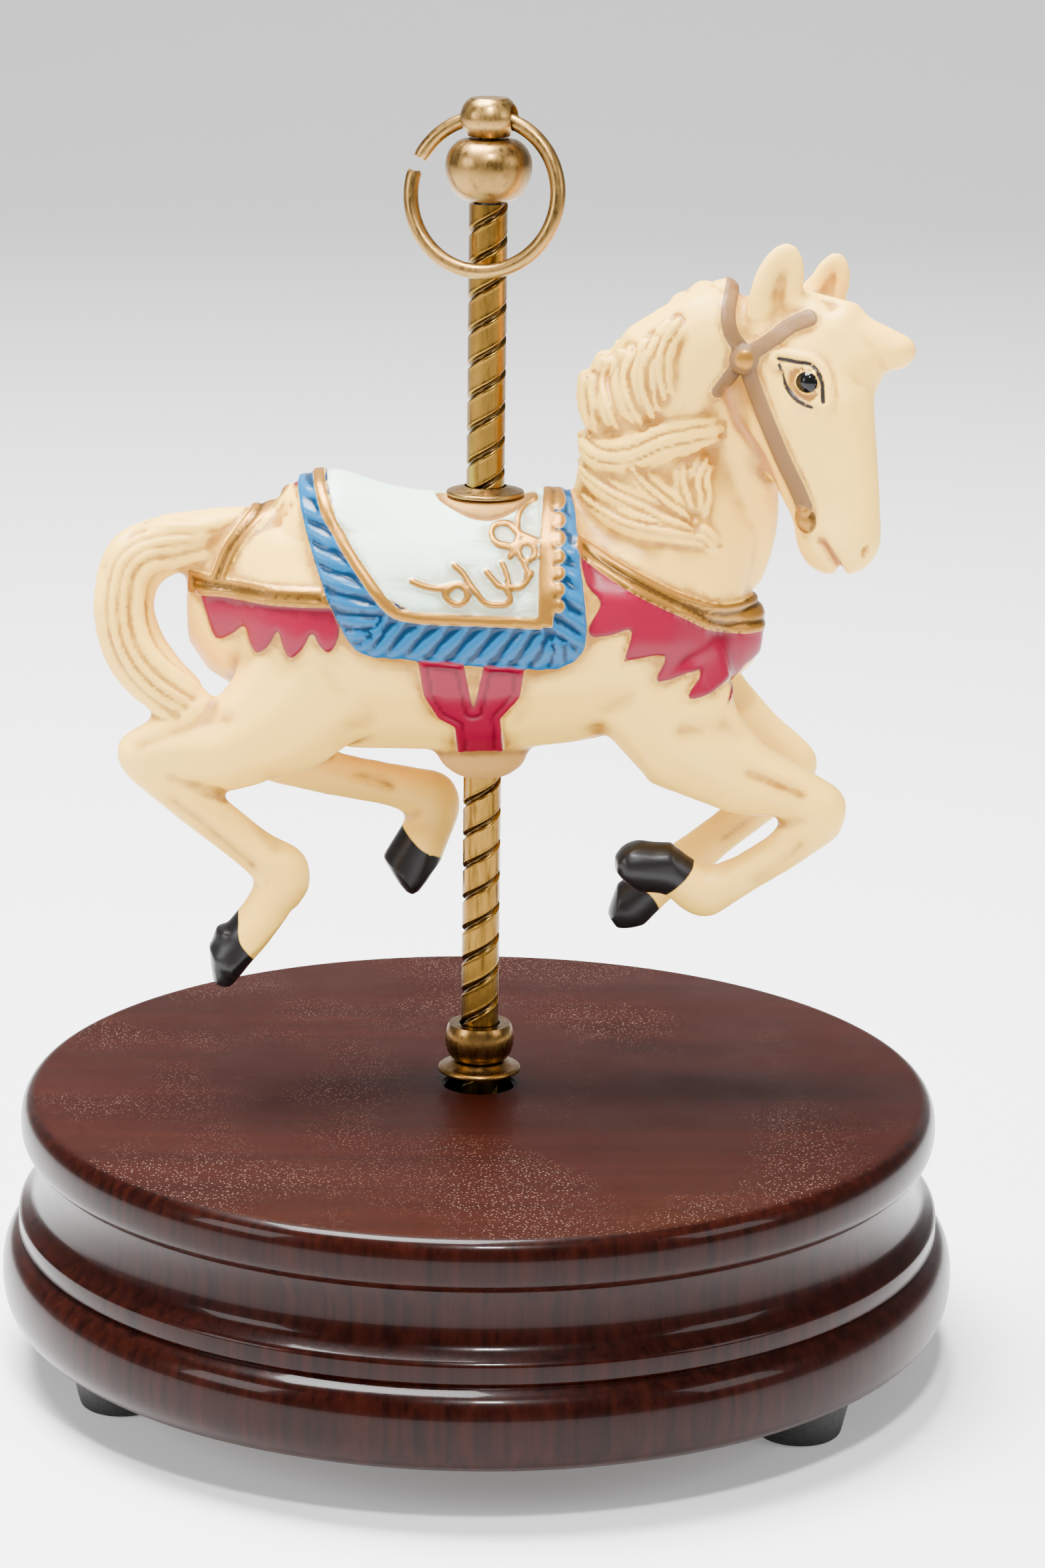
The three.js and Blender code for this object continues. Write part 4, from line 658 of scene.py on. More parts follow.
class MUSICBOX_OT_pole(bpy.types.Operator):
    """Draw the twisted pole and the turned brass that is threaded on it"""
    bl_idname = "musicbox.pole"
    bl_label = "Pole and turned brass"

    def execute(self, context):
        sizes = context.scene.musicbox_sizes
        bright = brass("streaked bright brass", (0.25, 0.140, 0.026), (0.16, 0.082, 0.015), 0.28,
                       3.0, 1.0, "hollow")
        antique = brass("antique satin brass", (0.34, 0.20, 0.060), (0.23, 0.13, 0.038), 0.34, 6.0,
                        0.3)
        dark = brass("dark polished brass", (0.30, 0.165, 0.046), (0.19, 0.10, 0.028), 0.30, 6.0, 0.4)
        for node in ("lower_pole", "upper_pole"):
            low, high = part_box(node)
            radius = (high[0] - low[0]) / 2
            tube = twisted_tube(node.replace("pole", "twisted_pole"), low[2], high[2], radius,
                                radius - POLE_WALL, sizes.twist_lead, sizes.groove_depth)
            finish_piece(tube, "carousel", "polished_brass", bright, node)

        low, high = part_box("finial_ball")
        ball = ball_profile(1.9, 3.1, 7.1, (high[2] - low[2]) / MM, 28)
        self.thread("finial_ball", ball, "antique_brass", antique)

        low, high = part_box("lower_bead")
        bead = ball_profile(POLE_BORE, POLE_BORE + 0.25, 5.9, (high[2] - low[2]) / MM, 18,
                            spread=0.6)
        self.thread("lower_bead", bead, "dark_brass", dark)

        collar = [(POLE_BORE, 0.0), (6.8, 0.0), (7.05, 0.12), (7.1, 0.35), (7.02, 0.6), (6.7, 0.85)]
        collar += curve_points((6.7, 0.85), (5.4, 1.0), (4.75, 1.7), 6)
        collar += [(4.6, 1.8), (POLE_BORE, 1.8)]
        self.thread("lower_collar", collar, "dark_brass", dark)

        flange = [(POLE_BORE, 0.0), (6.3, 0.0), (6.48, 0.1), (6.5, 0.3), (6.45, 0.55), (6.3, 0.7)]
        flange += curve_points((6.3, 0.7), (5.0, 1.0), (3.9, 1.42), 8)
        flange += [(3.7, 1.5), (POLE_BORE, 1.5)]
        self.thread("top_flange", flange, "antique_brass", antique)
        self.cap(antique)
        self.ring(antique)
        return {"FINISHED"}

    def thread(self, node, profile, slot, metal):
        """Turn a brass piece from an outline in mm that starts at the piece's own foot."""
        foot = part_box(node)[0][2] / MM
        piece = turned(f"{node}_turned", lifted(profile, foot), BRASS_SIDES)
        finish_piece(piece, "carousel", slot, metal, node)

    def cap(self, metal):
        """The small top bead, with the cross hole that the ring hangs in."""
        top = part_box("finial_cap")[1][2] / MM
        seat = top - 6.2
        cap = [(0.02, seat - 3.6), (1.6, seat - 3.6), (1.6, seat), (3.4, seat)]
        cap += curve_points((3.4, seat), (4.1, seat + 0.9), (4.6, seat + 1.8), 5)
        cap += curve_points((4.6, seat + 1.8), (5.1, seat + 3.1), (4.5, seat + 4.4), 8)
        cap += curve_points((4.5, seat + 4.4), (4.0, seat + 5.6), (3.3, top - 0.25), 6)
        cap += [(3.1, top - 0.02), (2.6, top), (0.02, top)]
        bead = turned("finial_cap_turned", cap, BRASS_SIDES)
        drill = self.curved_drill()
        apply_modifier(bead, "BOOLEAN", object=drill, operation="DIFFERENCE", solver="EXACT")
        bpy.data.objects.remove(drill)
        settle(bead, "finial_cap_turned", 30.0)
        finish_piece(bead, "carousel", "antique_brass", metal, "finial_cap")

    def curved_drill(self):
        """A round cutter on the ring's hinge line, wider towards its ends as the wire bends."""
        hinge = frame_joint("ring_swing")
        clear_selection()
        bpy.ops.mesh.primitive_cylinder_add(vertices=48, radius=1.0, depth=2.0,
                                            location=(0.0, 0.0, 0.0))
        drill = bpy.context.object
        edit_all(drill)
        bpy.ops.mesh.subdivide(number_cuts=15)
        bpy.ops.object.mode_set(mode="OBJECT")
        points = vertices_of(drill)
        along = points[:, 2] * DRILL_REACH
        drop = RING_RADIUS - np.sqrt(RING_RADIUS ** 2 - along ** 2)
        wide = HOLE_RADIUS + drop * HOLE_FLARE
        points[:, :2] *= wide[:, None]
        points[:, 2] = along
        set_vertices(drill, points)
        spin = Vector(hinge["axis"]).to_track_quat("Z", "Y").to_matrix().to_4x4()
        drill.data.transform(Matrix.Translation(Vector(hinge["pos_m"])) @ spin)
        return drill

    def ring(self, metal):
        """The brass ring: drawn wire bent round, its two ends snapped and never closed."""
        hinge = frame_joint("ring_swing")
        axis = -Vector(hinge["axis"])
        top = Vector(hinge["pos_m"])
        lean = math.asin((POLE_RADIUS + RING_WIRE + RING_CLEARANCE) / (2 * RING_RADIUS))
        toward = Vector((axis.y, -axis.x, 0.0))
        down = Vector((0.0, 0.0, -1.0)) * math.cos(lean) + toward * math.sin(lean)
        middle = top + down * RING_RADIUS
        side = axis.cross(down).normalized()
        steps, around = 150, 22
        verts, faces = [], []
        rough = np.random.default_rng(7)  # fixed, so the torn ends come out the same each time
        for i in range(steps + 1):
            angle = RING_START + RING_SPAN * i / steps
            out = axis * math.cos(angle) - down * math.sin(angle)
            centre = middle + out * RING_RADIUS
            end = min(i, steps - i)
            size = RING_WIRE * (1.0 + 0.012 * math.sin(angle * 5.0 + 1.0))
            size *= SNAPPED_ENDS[end] if end < len(SNAPPED_ENDS) else 1.0
            for j in range(around):
                turn = 2 * math.pi * j / around
                point = centre + (out * math.cos(turn) + side * math.sin(turn)) * size
                if end == 0:
                    point += side.cross(out) * float(rough.normal(0.0, 0.16)) * RING_WIRE
                verts.append(point)
        for i in range(steps):
            for j in range(around):
                k = (j + 1) % around
                a, b = i * around, (i + 1) * around
                faces.append((a + j, b + j, b + k, a + k))
        for row, flip in ((0, False), (steps, True)):
            verts.append(sum((verts[row * around + j] for j in range(around)), Vector()) / around)
            hub = len(verts) - 1
            for j in range(around):
                a, b = row * around + j, row * around + (j + 1) % around
                faces.append((hub, a, b) if flip else (hub, b, a))
        ring = mesh_from("brass_ring_wire", verts, faces)
        edit_all(ring)
        bpy.ops.mesh.normals_make_consistent(inside=False)
        bpy.ops.object.mode_set(mode="OBJECT")
        settle(ring, "brass_ring_wire", 50.0)
        finish_piece(ring, "ring", "antique_brass", metal, "brass_ring")


# ---- The movement and the underside keep their CAD shapes ------------------------------------
class MUSICBOX_OT_movement(bpy.types.Operator):
    """Finish the movement, the key, the screws and the cover"""
    bl_idname = "musicbox.movement"
    bl_label = "Movement and underside"

    def execute(self, context):
        finishes = {
            "polished_brass": brass("movement brass", (0.66, 0.46, 0.18), (0.50, 0.33, 0.11),
                                    0.26),
            "steel": plain_metal("bright steel", (0.58, 0.58, 0.57), 0.30),
            "cast_zinc": plain_metal("cast zinc", (0.42, 0.42, 0.41), 0.5, 300.0),
            "hardboard": hardboard(),
        }
        slots = {part["node"]: part["material_slot"] for part in frame["record"]["subparts"]}
        for name, node in frame["nodes"].items():
            finish = finishes.get(slots.get(name))
            if finish is None:
                continue
            if not node.material_slots:
                node.data.materials.append(finish)
            for place in node.material_slots:
                place.material = finish
        return {"FINISHED"}


# ---- The horse ------------------------------------------------------------------------------
# Outlines lie in the horse's side plane: (forward, height above the base's flat top), in mm.
BLANKET = [(-31.6, 107.5), (-29.4, 98.6), (-26.4, 90.1), (-22.7, 82.3), (-19.4, 79.3),
           (-12.4, 78.6), (-4.1, 77.7), (9.8, 77.1), (14.3, 78.4), (16.5, 81.2), (16.4, 87.5),
           (15.2, 96.0), (14.6, 102.4), (13.4, 105.0), (10.0, 107.0), (0.0, 112.0),
           (-30.5, 114.0)]
SEAT = [(-28.2, 112.0), (-24.0, 98.8), (-16.2, 88.6), (-11.6, 86.3), (-1.3, 85.9), (8.9, 85.7),
        (9.0, 92.1), (9.2, 97.6), (9.9, 104.0), (10.0, 112.0)]
SEAT_LINE = [(-29.2, 112.0), (-27.7, 106.0), (-24.5, 98.6), (-16.6, 88.0), (-11.9, 85.5),
             (-1.3, 85.0), (9.0, 84.7)]
STRIPE = [(8.9, 84.2), (8.9, 92.1), (9.1, 97.6), (9.8, 104.0), (10.2, 112.0), (11.6, 112.0),
          (11.2, 103.0), (11.4, 97.0), (11.5, 92.0), (11.4, 87.0), (11.2, 84.2)]
SCROLLS = [
    [(-11.9, 90.8), (-10.0, 90.1), (-7.6, 89.7), (-5.7, 90.0), (-3.8, 90.2), (-2.7, 88.9),
     (-3.2, 87.9), (-4.4, 87.5), (-5.7, 88.0), (-6.4, 89.0), (-5.3, 89.8)],
    [(-5.0, 93.2), (-3.6, 92.1), (-2.3, 90.3), (-1.2, 89.1), (0.1, 87.8), (1.8, 87.5),
     (3.9, 87.7), (4.3, 88.6), (3.5, 89.8), (2.2, 90.2)],
    [(0.3, 92.3), (1.3, 91.2), (2.2, 90.3)],
    [(2.9, 93.6), (3.5, 92.3), (3.9, 91.1), (4.1, 90.2), (5.8, 90.0), (6.9, 90.9), (7.8, 92.3)],
    [(6.9, 90.9), (7.1, 92.2), (6.5, 93.6), (5.7, 95.0), (5.9, 96.1), (6.9, 96.5), (8.0, 95.9),
     (8.2, 94.8), (7.4, 94.1)],
    [(4.1, 95.9), (2.2, 96.1), (1.2, 97.0), (1.2, 98.2), (2.3, 98.9), (4.0, 98.8), (5.4, 97.7),
     (8.6, 96.6)],
    [(8.3, 102.0), (6.8, 101.5), (5.7, 100.4), (5.4, 98.8), (5.6, 97.3), (5.0, 95.9), (4.2, 94.5)],
]
CHEST_BAND = [(15.0, 98.0), (23.7, 93.3), (31.5, 89.4), (39.4, 86.6), (50.0, 86.0), (50.0, 81.2),
              (39.5, 81.6), (31.6, 85.8), (23.7, 89.7), (15.2, 95.1)]
BANNER = [(15.2, 95.6), (16.6, 90.7), (19.0, 87.9), (17.1, 84.3), (17.7, 82.5), (21.0, 82.8),
          (24.1, 83.6), (23.0, 78.7), (23.8, 78.6), (29.7, 79.2), (28.4, 74.6), (35.6, 76.4),
          (33.5, 72.0), (37.2, 72.4), (40.9, 74.2), (40.2, 70.0), (43.5, 75.2), (50.0, 79.3),
          (50.0, 82.2), (39.5, 82.6), (31.6, 86.8), (23.7, 90.7)]
GIRTH = [(-10.8, 78.8), (-9.7, 72.0), (-7.4, 67.9), (-4.6, 66.2), (-3.8, 56.0), (3.8, 56.0),
         (2.9, 68.0), (6.0, 72.0), (6.8, 77.6), (0.1, 78.0), (-1.6, 69.7), (-3.3, 78.4)]
FRINGE = [(-47.5, 88.0), (-45.9, 84.0), (-44.3, 79.7), (-41.6, 80.6), (-39.3, 82.4), (-38.4, 79.6),
          (-37.1, 78.3), (-35.2, 79.8), (-33.7, 82.4), (-32.8, 79.6), (-31.5, 78.0),
          (-29.5, 79.9), (-28.1, 82.4), (-26.9, 80.4), (-25.3, 79.2), (-23.8, 81.6),
          (-23.4, 86.0), (-24.4, 89.0)]
BREECH_BAND = [(-49.0, 86.6), (-43.1, 86.9), (-34.0, 86.5), (-24.0, 86.6), (-24.6, 89.7),
               (-34.0, 89.5), (-43.1, 89.8), (-49.0, 90.4)]
RUMP_STRAP = [(-30.4, 108.0), (-36.2, 101.2), (-41.4, 95.1), (-43.9, 89.4)]
CANTLE_SPOT = [(-34.4, 105.6), (-33.4, 104.4), (-31.0, 104.0), (-30.4, 106.4), (-31.6, 108.0)]
# Each hoof: near (-1) or far (1) side, its middle across, the stretch of the side plane that is
# pared (forward from and to, height from and to), the outline of hoof and pastern together, and
# the black part's outline.
HOOVES = (
    (-1, -11.0, (-52.0, -30.0, 14.0, 35.0),
     [(-45.3, 35.5), (-45.6, 30.0), (-45.4, 26.4), (-44.6, 21.2), (-42.1, 20.4), (-38.2, 25.0),
      (-34.6, 29.5), (-31.0, 36.0), (-34.0, 42.0), (-43.0, 42.0)],
     [(-46.6, 34.4), (-46.9, 26.0), (-45.0, 19.4), (-41.6, 19.0), (-37.8, 25.2), (-40.2, 29.5),
      (-41.0, 34.6)]),
    (1, 11.0, (-24.0, -2.0, 24.0, 43.5),
     [(-16.4, 45.0), (-17.6, 40.7), (-16.3, 36.1), (-11.8, 30.6), (-7.2, 36.3), (-5.0, 38.8),
      (-3.4, 45.0), (-6.0, 52.0), (-14.0, 52.0)],
     [(-15.2, 44.6), (-19.0, 41.6), (-17.6, 35.4), (-11.8, 28.6), (-6.6, 36.4), (-10.4, 39.6)]),
    (-1, -10.0, (15.0, 36.5, 30.0, 49.5),
     [(21.6, 42.4), (24.3, 45.4), (29.9, 46.5), (33.7, 45.2), (37.0, 42.8), (41.0, 40.0),
      (39.0, 34.0), (34.0, 34.0), (29.8, 36.4), (27.4, 37.1), (23.7, 39.5)],
     [(19.6, 42.4), (23.6, 47.4), (30.0, 48.2), (34.4, 45.8), (35.6, 42.7), (32.8, 39.1),
      (28.6, 36.0), (22.6, 37.8)]),
    (1, 9.0, (15.0, 33.0, 20.0, 37.5),
     [(25.6, 38.5), (22.7, 30.9), (21.9, 26.8), (24.4, 25.6), (28.9, 26.5), (33.5, 28.6),
      (38.5, 33.5), (34.0, 40.0)],
     [(24.0, 34.8), (20.6, 30.4), (20.0, 25.0), (24.4, 23.4), (29.6, 25.4), (30.8, 28.6),
      (28.8, 32.6)]),
)
# Tubes that fill each hoof out to its toe: half width, and the route (forward, across, up).
HOOF_TIPS = (
    (3.4, [(-41.0, -11.0, 31.0), (-42.2, -11.0, 26.5), (-43.4, -11.0, 22.5), (-43.9, -11.0, 21.0)]),
    (4.0, [(-11.5, 11.0, 41.0), (-11.8, 11.0, 36.0), (-11.9, 11.0, 32.6), (-11.8, 11.0, 31.0)]),
    (3.6, [(33.0, -10.0, 42.6), (28.5, -10.0, 42.4), (24.5, -10.0, 42.9), (22.3, -10.0, 43.1)]),
    (3.8, [(28.5, 9.0, 32.0), (26.0, 9.0, 29.4), (23.8, 9.0, 27.4), (22.8, 9.0, 26.6)]),
)
# Hollows worked between muscle and bone: side, depth, half width, and the line each follows.
CREASES = (
    (-1, 0.50, 0.9, [(-39.5, 68.6), (-48.1, 66.1), (-55.8, 63.1), (-58.2, 60.1)]),
    (-1, 0.55, 0.8, [(-53.6, 54.8), (-48.4, 51.0), (-42.7, 46.1), (-36.0, 40.1)]),
    (-1, 0.50, 0.8, [(-45.9, 56.2), (-38.8, 51.1), (-32.1, 43.3)]),
    (-1, 0.45, 1.3, [(-21.0, 61.3), (-24.4, 57.3), (-31.1, 56.1), (-37.7, 57.0)]),
    (-1, 0.30, 1.6, [(-21.4, 69.4), (-21.9, 64.5), (-25.3, 60.5)]),
    (1, 0.50, 0.8, [(-24.1, 53.0), (-18.2, 51.6), (-13.1, 49.2)]),
    (-1, 0.55, 0.8, [(42.0, 60.0), (46.9, 57.9), (51.8, 55.8), (55.3, 54.0)]),
    (-1, 0.40, 1.3, [(29.4, 65.6), (35.6, 66.7), (40.5, 66.3), (45.3, 63.9)]),
    (-1, 0.45, 0.6, [(37.6, 40.7), (40.4, 41.8), (42.8, 42.6)]),
    (-1, 0.45, 0.8, [(43.2, 38.6), (48.7, 41.9), (52.4, 45.7), (54.0, 49.8)]),
    (-1, 0.45, 0.8, [(46.7, 52.3), (48.4, 49.4), (45.8, 46.0), (39.7, 42.2)]),
    (-1, 0.28, 1.5, [(19.7, 68.4), (18.5, 65.5), (19.4, 61.2), (23.0, 56.6), (28.2, 53.8)]),
    (1, 0.50, 0.8, [(42.0, 60.0), (47.9, 57.0), (52.0, 54.6)]),
    (1, 0.50, 0.8, [(51.0, 49.4), (45.6, 45.6), (39.0, 40.4)]),
    (1, 0.50, 0.9, [(-27.0, 66.0), (-31.0, 62.0), (-36.0, 57.0)]),
)
# The bridle and the face, drawn on the head's near side.
CHEEK_STRAP = [(42.6, 125.6), (45.3, 118.8), (48.3, 112.0), (50.8, 107.1), (52.1, 104.2)]
BROW_STRAP = [(42.8, 128.3), (46.0, 130.6), (49.1, 133.0), (52.2, 134.4)]
CROWN_STRAP = [(40.4, 139.4), (39.1, 135.0), (39.6, 131.4), (41.8, 128.6)]
THROAT_STRAP = [(41.4, 126.8), (39.6, 124.4), (37.9, 121.9)]
ROSETTE = (41.9, 127.4)
BIT = (52.3, 101.8)
EYE = (51.7, 124.6)
UPPER_LID = [(47.4, 127.9), (50.0, 127.7), (52.5, 127.2), (54.0, 125.0), (54.4, 121.6)]
LOWER_LID = [(47.6, 126.9), (48.4, 123.8), (50.2, 121.6), (52.6, 120.6)]
UNDER_EYE = (51.0, 120.6)
NOSTRIL = (62.4, 97.2)
MOUTH = [(54.6, 98.6), (56.4, 96.0), (57.9, 93.6), (58.8, 90.4)]
JAW_LINE = [(39.2, 121.8), (41.2, 116.2), (45.0, 111.2), (47.4, 105.4), (49.2, 99.0)]

# Locks of the mane along the crest and the lower neck, each from root to tip.
CREST_LOCKS = [
    [(17.2, 123.4), (17.0, 120.6), (17.6, 117.0), (18.0, 114.4)],
    [(20.4, 126.6), (19.0, 122.6), (20.0, 118.8), (21.4, 115.4)],
    [(23.4, 128.6), (22.2, 124.6), (23.2, 120.4), (25.4, 116.4)],
    [(27.2, 130.4), (25.4, 126.6), (25.4, 122.4), (27.2, 117.4)],
    [(31.0, 133.4), (28.4, 129.4), (28.0, 125.4), (29.0, 120.6)],
]
LONG_LOCK = [(38.6, 115.4), (33.6, 114.8), (28.6, 113.8), (23.4, 111.4), (18.6, 111.0),
             (15.2, 112.8)]
FAN_LOCKS = [
    [(36.3, 110.4), (34.9, 107.6), (35.3, 104.4), (34.8, 100.5)],
    [(32.4, 109.6), (32.6, 106.6), (33.6, 104.0), (34.4, 102.2)],
    [(24.0, 108.9), (27.6, 105.6), (31.4, 102.8), (34.6, 100.9)],
    [(15.2, 108.4), (19.6, 105.6), (25.6, 103.2), (34.2, 99.6)],
    [(15.8, 103.6), (22.5, 100.6), (29.7, 99.3), (35.6, 98.2), (38.2, 95.6)],
]
# The crest's top: forward, up and size. Then the tail's two edges, from the rump to its tip.
CREST_PUFFS = [(29.6, 131.6, 3.0), (32.6, 134.0, 3.1), (35.6, 136.0, 2.9), (38.6, 136.6, 2.6)]
TAIL_OUTER = [(-31.5, 103.0), (-37.6, 101.0), (-44.9, 98.1), (-52.3, 98.2), (-57.9, 96.9),
              (-61.4, 94.4), (-63.4, 90.6), (-64.0, 84.6), (-63.4, 79.0), (-61.4, 74.0),
              (-57.4, 69.6), (-51.6, 66.6)]
TAIL_INNER = [(-35.0, 97.6), (-40.6, 95.6), (-45.4, 93.4), (-50.4, 91.4), (-54.0, 91.2),
              (-56.2, 89.2), (-56.6, 86.0), (-56.4, 82.4), (-55.0, 78.6), (-52.2, 75.6),
              (-49.0, 73.6), (-46.4, 71.6)]

# The throat's middle line, and both ears: centre (forward, across, up), half sizes and lean.
THROAT = [(37.0, -3.0, 122.0), (40.6, -2.0, 113.0), (42.4, -1.0, 104.0), (42.2, 0.0, 96.0),
          (40.0, 0.0, 88.0)]
EARS = (((46.9, -8.2, 138.2), (4.3, 1.9, 8.2), 14.5), ((55.6, -0.6, 136.8), (3.5, 1.8, 7.2), 16.0))
EAR_HOLLOWS = (((47.3, 139.2), (2.2, 4.6), 14.5), ((56.1, 138.6), (1.6, 3.4), 16.0))

FORELOCK, FORELOCK_SIZE = (65.9, -10.8, 129.1), (3.9, 3.2, 3.1)
# The head is turned a little: a point on its middle plane, and the way out of its near cheek.
HEAD_PLACE = np.array((51.0, -6.5, 128.0))
HEAD_OUTWARD = np.array((-0.574, -0.819, 0.0))
OUTSIDE = -5.0  # mm: well clear of a painted region
BARE_CLAY_RADIUS = 8.2  # round the pole's holes in the saddle and the belly
BELLY_BOSS_TOP, SADDLE_BOSS_FOOT = 62.0, 90.0
SEAT_PIPING, SCROLL_LINE = 0.85, 0.55
BEAD_COLUMN, BEAD_RADIUS, BEAD_PITCH = 12.1, 1.05, 2.4
BEADS_FROM, BEADS_TO = 86.4, 103.2
GATHER_PITCH = 3.3
HOOF_HALF_THICKNESS, HOOF_ROUNDING = 5.6, 3.4
# Rounds of blurring after which a hollow is measured, and the depth in mm that counts as full.
HOLLOW_DEPTHS = {6: 0.12, 24: 0.40}
MOST_TRIANGLES = 190000


def smooth_line(line, steps=4):
    """The line drawn through its points as a curve."""
    path = [np.array(p, float) for p in line]
    path = [2 * path[0] - path[1]] + path + [2 * path[-1] - path[-2]]
    out = []
    for a, b, c, d in zip(path, path[1:], path[2:], path[3:]):
        for i in range(steps):
            t = i / steps
            out.append(0.5 * (2 * b + (c - a) * t + (2 * a - 5 * b + 4 * c - d) * t * t
                              + (3 * b - a - 3 * c + d) * t ** 3))
    out.append(path[-2])
    return [tuple(p) for p in out]


def between(first, second, share):
    """The line that runs that share of the way from the first line to the second."""
    return [(a[0] * (1 - share) + b[0] * share, a[1] * (1 - share) + b[1] * share)
            for a, b in zip(first, second)]


def line_distance(flat, line, closed=False):
    """Each point's distance to the line, and how far along the line it lies."""
    best = np.full(len(flat), 1e9)
    run = np.zeros(len(flat))
    start_run = 0.0
    ends = line[1:] + line[:1] if closed else line[1:]
    for (ax, az), (bx, bz) in zip(line, ends):
        dx, dz = bx - ax, bz - az
        size = math.hypot(dx, dz)
        if size < 1e-6:
            continue
        along = np.clip(((flat[:, 0] - ax) * dx + (flat[:, 1] - az) * dz) / size ** 2, 0, 1)
        gap = np.hypot(flat[:, 0] - ax - along * dx, flat[:, 1] - az - along * dz)
        nearer = gap < best
        best[nearer] = gap[nearer]
        run[nearer] = start_run + along[nearer] * size
        start_run += size
    return best, run


def inside_distance(flat, outline):
    """How far inside the outline each point lies; negative outside."""
    within = np.zeros(len(flat), bool)
    for (ax, az), (bx, bz) in zip(outline, outline[1:] + outline[:1]):
        crosses = (az > flat[:, 1]) != (bz > flat[:, 1])
        at = ax + (flat[:, 1] - az) * (bx - ax) / ((bz - az) or 1e-9)
        within ^= crosses & (flat[:, 0] < at)
    gap = line_distance(flat, outline, True)[0]
    return np.where(within, gap, -gap)


def rounded_inside(flat, outline, steps=3):
    """How far inside the outline each point lies, once its corners are rounded."""
    return inside_distance(flat, smooth_line(outline + outline[:1], steps))


def stroke_distance(flat, line):
    """Each point's distance to the curve through the line's points."""
    return line_distance(flat, smooth_line(line))[0]


def only(where, distance):
    """The distance where the test holds, and well outside everywhere else."""
    return np.where(where, distance, OUTSIDE)


def crease(gap, half):
    """A soft hollow: 1 in its middle, fading over its half width."""
    return np.exp(-(gap / half) ** 2)


def ease(values, low, high):
    """A smooth step from 0 at low to 1 at high."""
    t = np.clip((values - low) / (high - low), 0.0, 1.0)
    return t * t * (3 - 2 * t)


def gap_to(flat, place, stretch=(1.0, 1.0)):
    """Each point's distance to a place, counted in half sizes where stretch is given."""
    return np.hypot((flat[:, 0] - place[0]) / stretch[0], (flat[:, 1] - place[1]) / stretch[1])


class Locks:
    """Gathers tapered swept tubes into one mesh; places are in mm above the base's top."""

    def __init__(self):
        self.verts = []
        self.faces = []

    def sweep(self, route, wide, thick, outward, sides=14, flutes=0, taper=(0.55, 0.25)):
        """A tube along the route, so wide across and so thick outwards, tapered to its ends."""
        path = [np.array(p, float) for p in smooth_line(route, 5)]
        count = len(path)
        first = len(self.verts)
        for i, place in enumerate(path):
            ahead = path[min(i + 1, count - 1)] - path[max(i - 1, 0)]
            ahead /= np.linalg.norm(ahead)
            out = np.array(outward, float)
            out -= ahead * out.dot(ahead)
            out /= np.linalg.norm(out)
            across = np.cross(ahead, out)
            share = i / (count - 1)
            swell = math.sin(math.pi * share) ** 0.6
            ends = taper[0] * (1 - share) + taper[1] * share
            size = ends + (1.0 - ends) * swell
            if i in (0, count - 1):
                size *= 0.3
            for j in range(sides):
                turn = 2 * math.pi * j / sides
                ridge = 1.0 + (0.14 * math.cos(flutes * turn) if flutes else 0.0)
                self.verts.append(place + (across * wide * math.cos(turn)
                                           + out * thick * math.sin(turn)) * size * ridge)
        for i in range(count - 1):
            for j in range(sides):
                k = (j + 1) % sides
                a, b = first + i * sides, first + (i + 1) * sides
                self.faces.append((a + j, a + k, b + k, b + j))
        self.faces.append(tuple(first + j for j in reversed(range(sides))))
        last = first + (count - 1) * sides
        self.faces.append(tuple(last + j for j in range(sides)))

    def blob(self, centre, radii, turn=None, rings=10, sides=16):
        """A rounded lump with these half sizes; turn holds its three axes as rows."""
        first = len(self.verts)
        basis = np.eye(3) if turn is None else np.array(turn)
        for i in range(rings + 1):
            polar = math.pi * i / rings
            for j in range(sides):
                around = 2 * math.pi * j / sides
                local = np.array((math.sin(polar) * math.cos(around) * radii[0],
                                  math.sin(polar) * math.sin(around) * radii[1],
                                  math.cos(polar) * radii[2]))
                self.verts.append(np.array(centre) + basis.T @ local)
        for i in range(rings):
            for j in range(sides):
                k = (j + 1) % sides
                a, b = first + i * sides, first + (i + 1) * sides
                self.faces.append((a + j, b + j, b + k, a + k))

    def piece(self, name):
        verts = [Vector(v) * MM + Vector((0.0, 0.0, BASE_TOP)) for v in self.verts]
        return mesh_from(name, verts, self.faces)


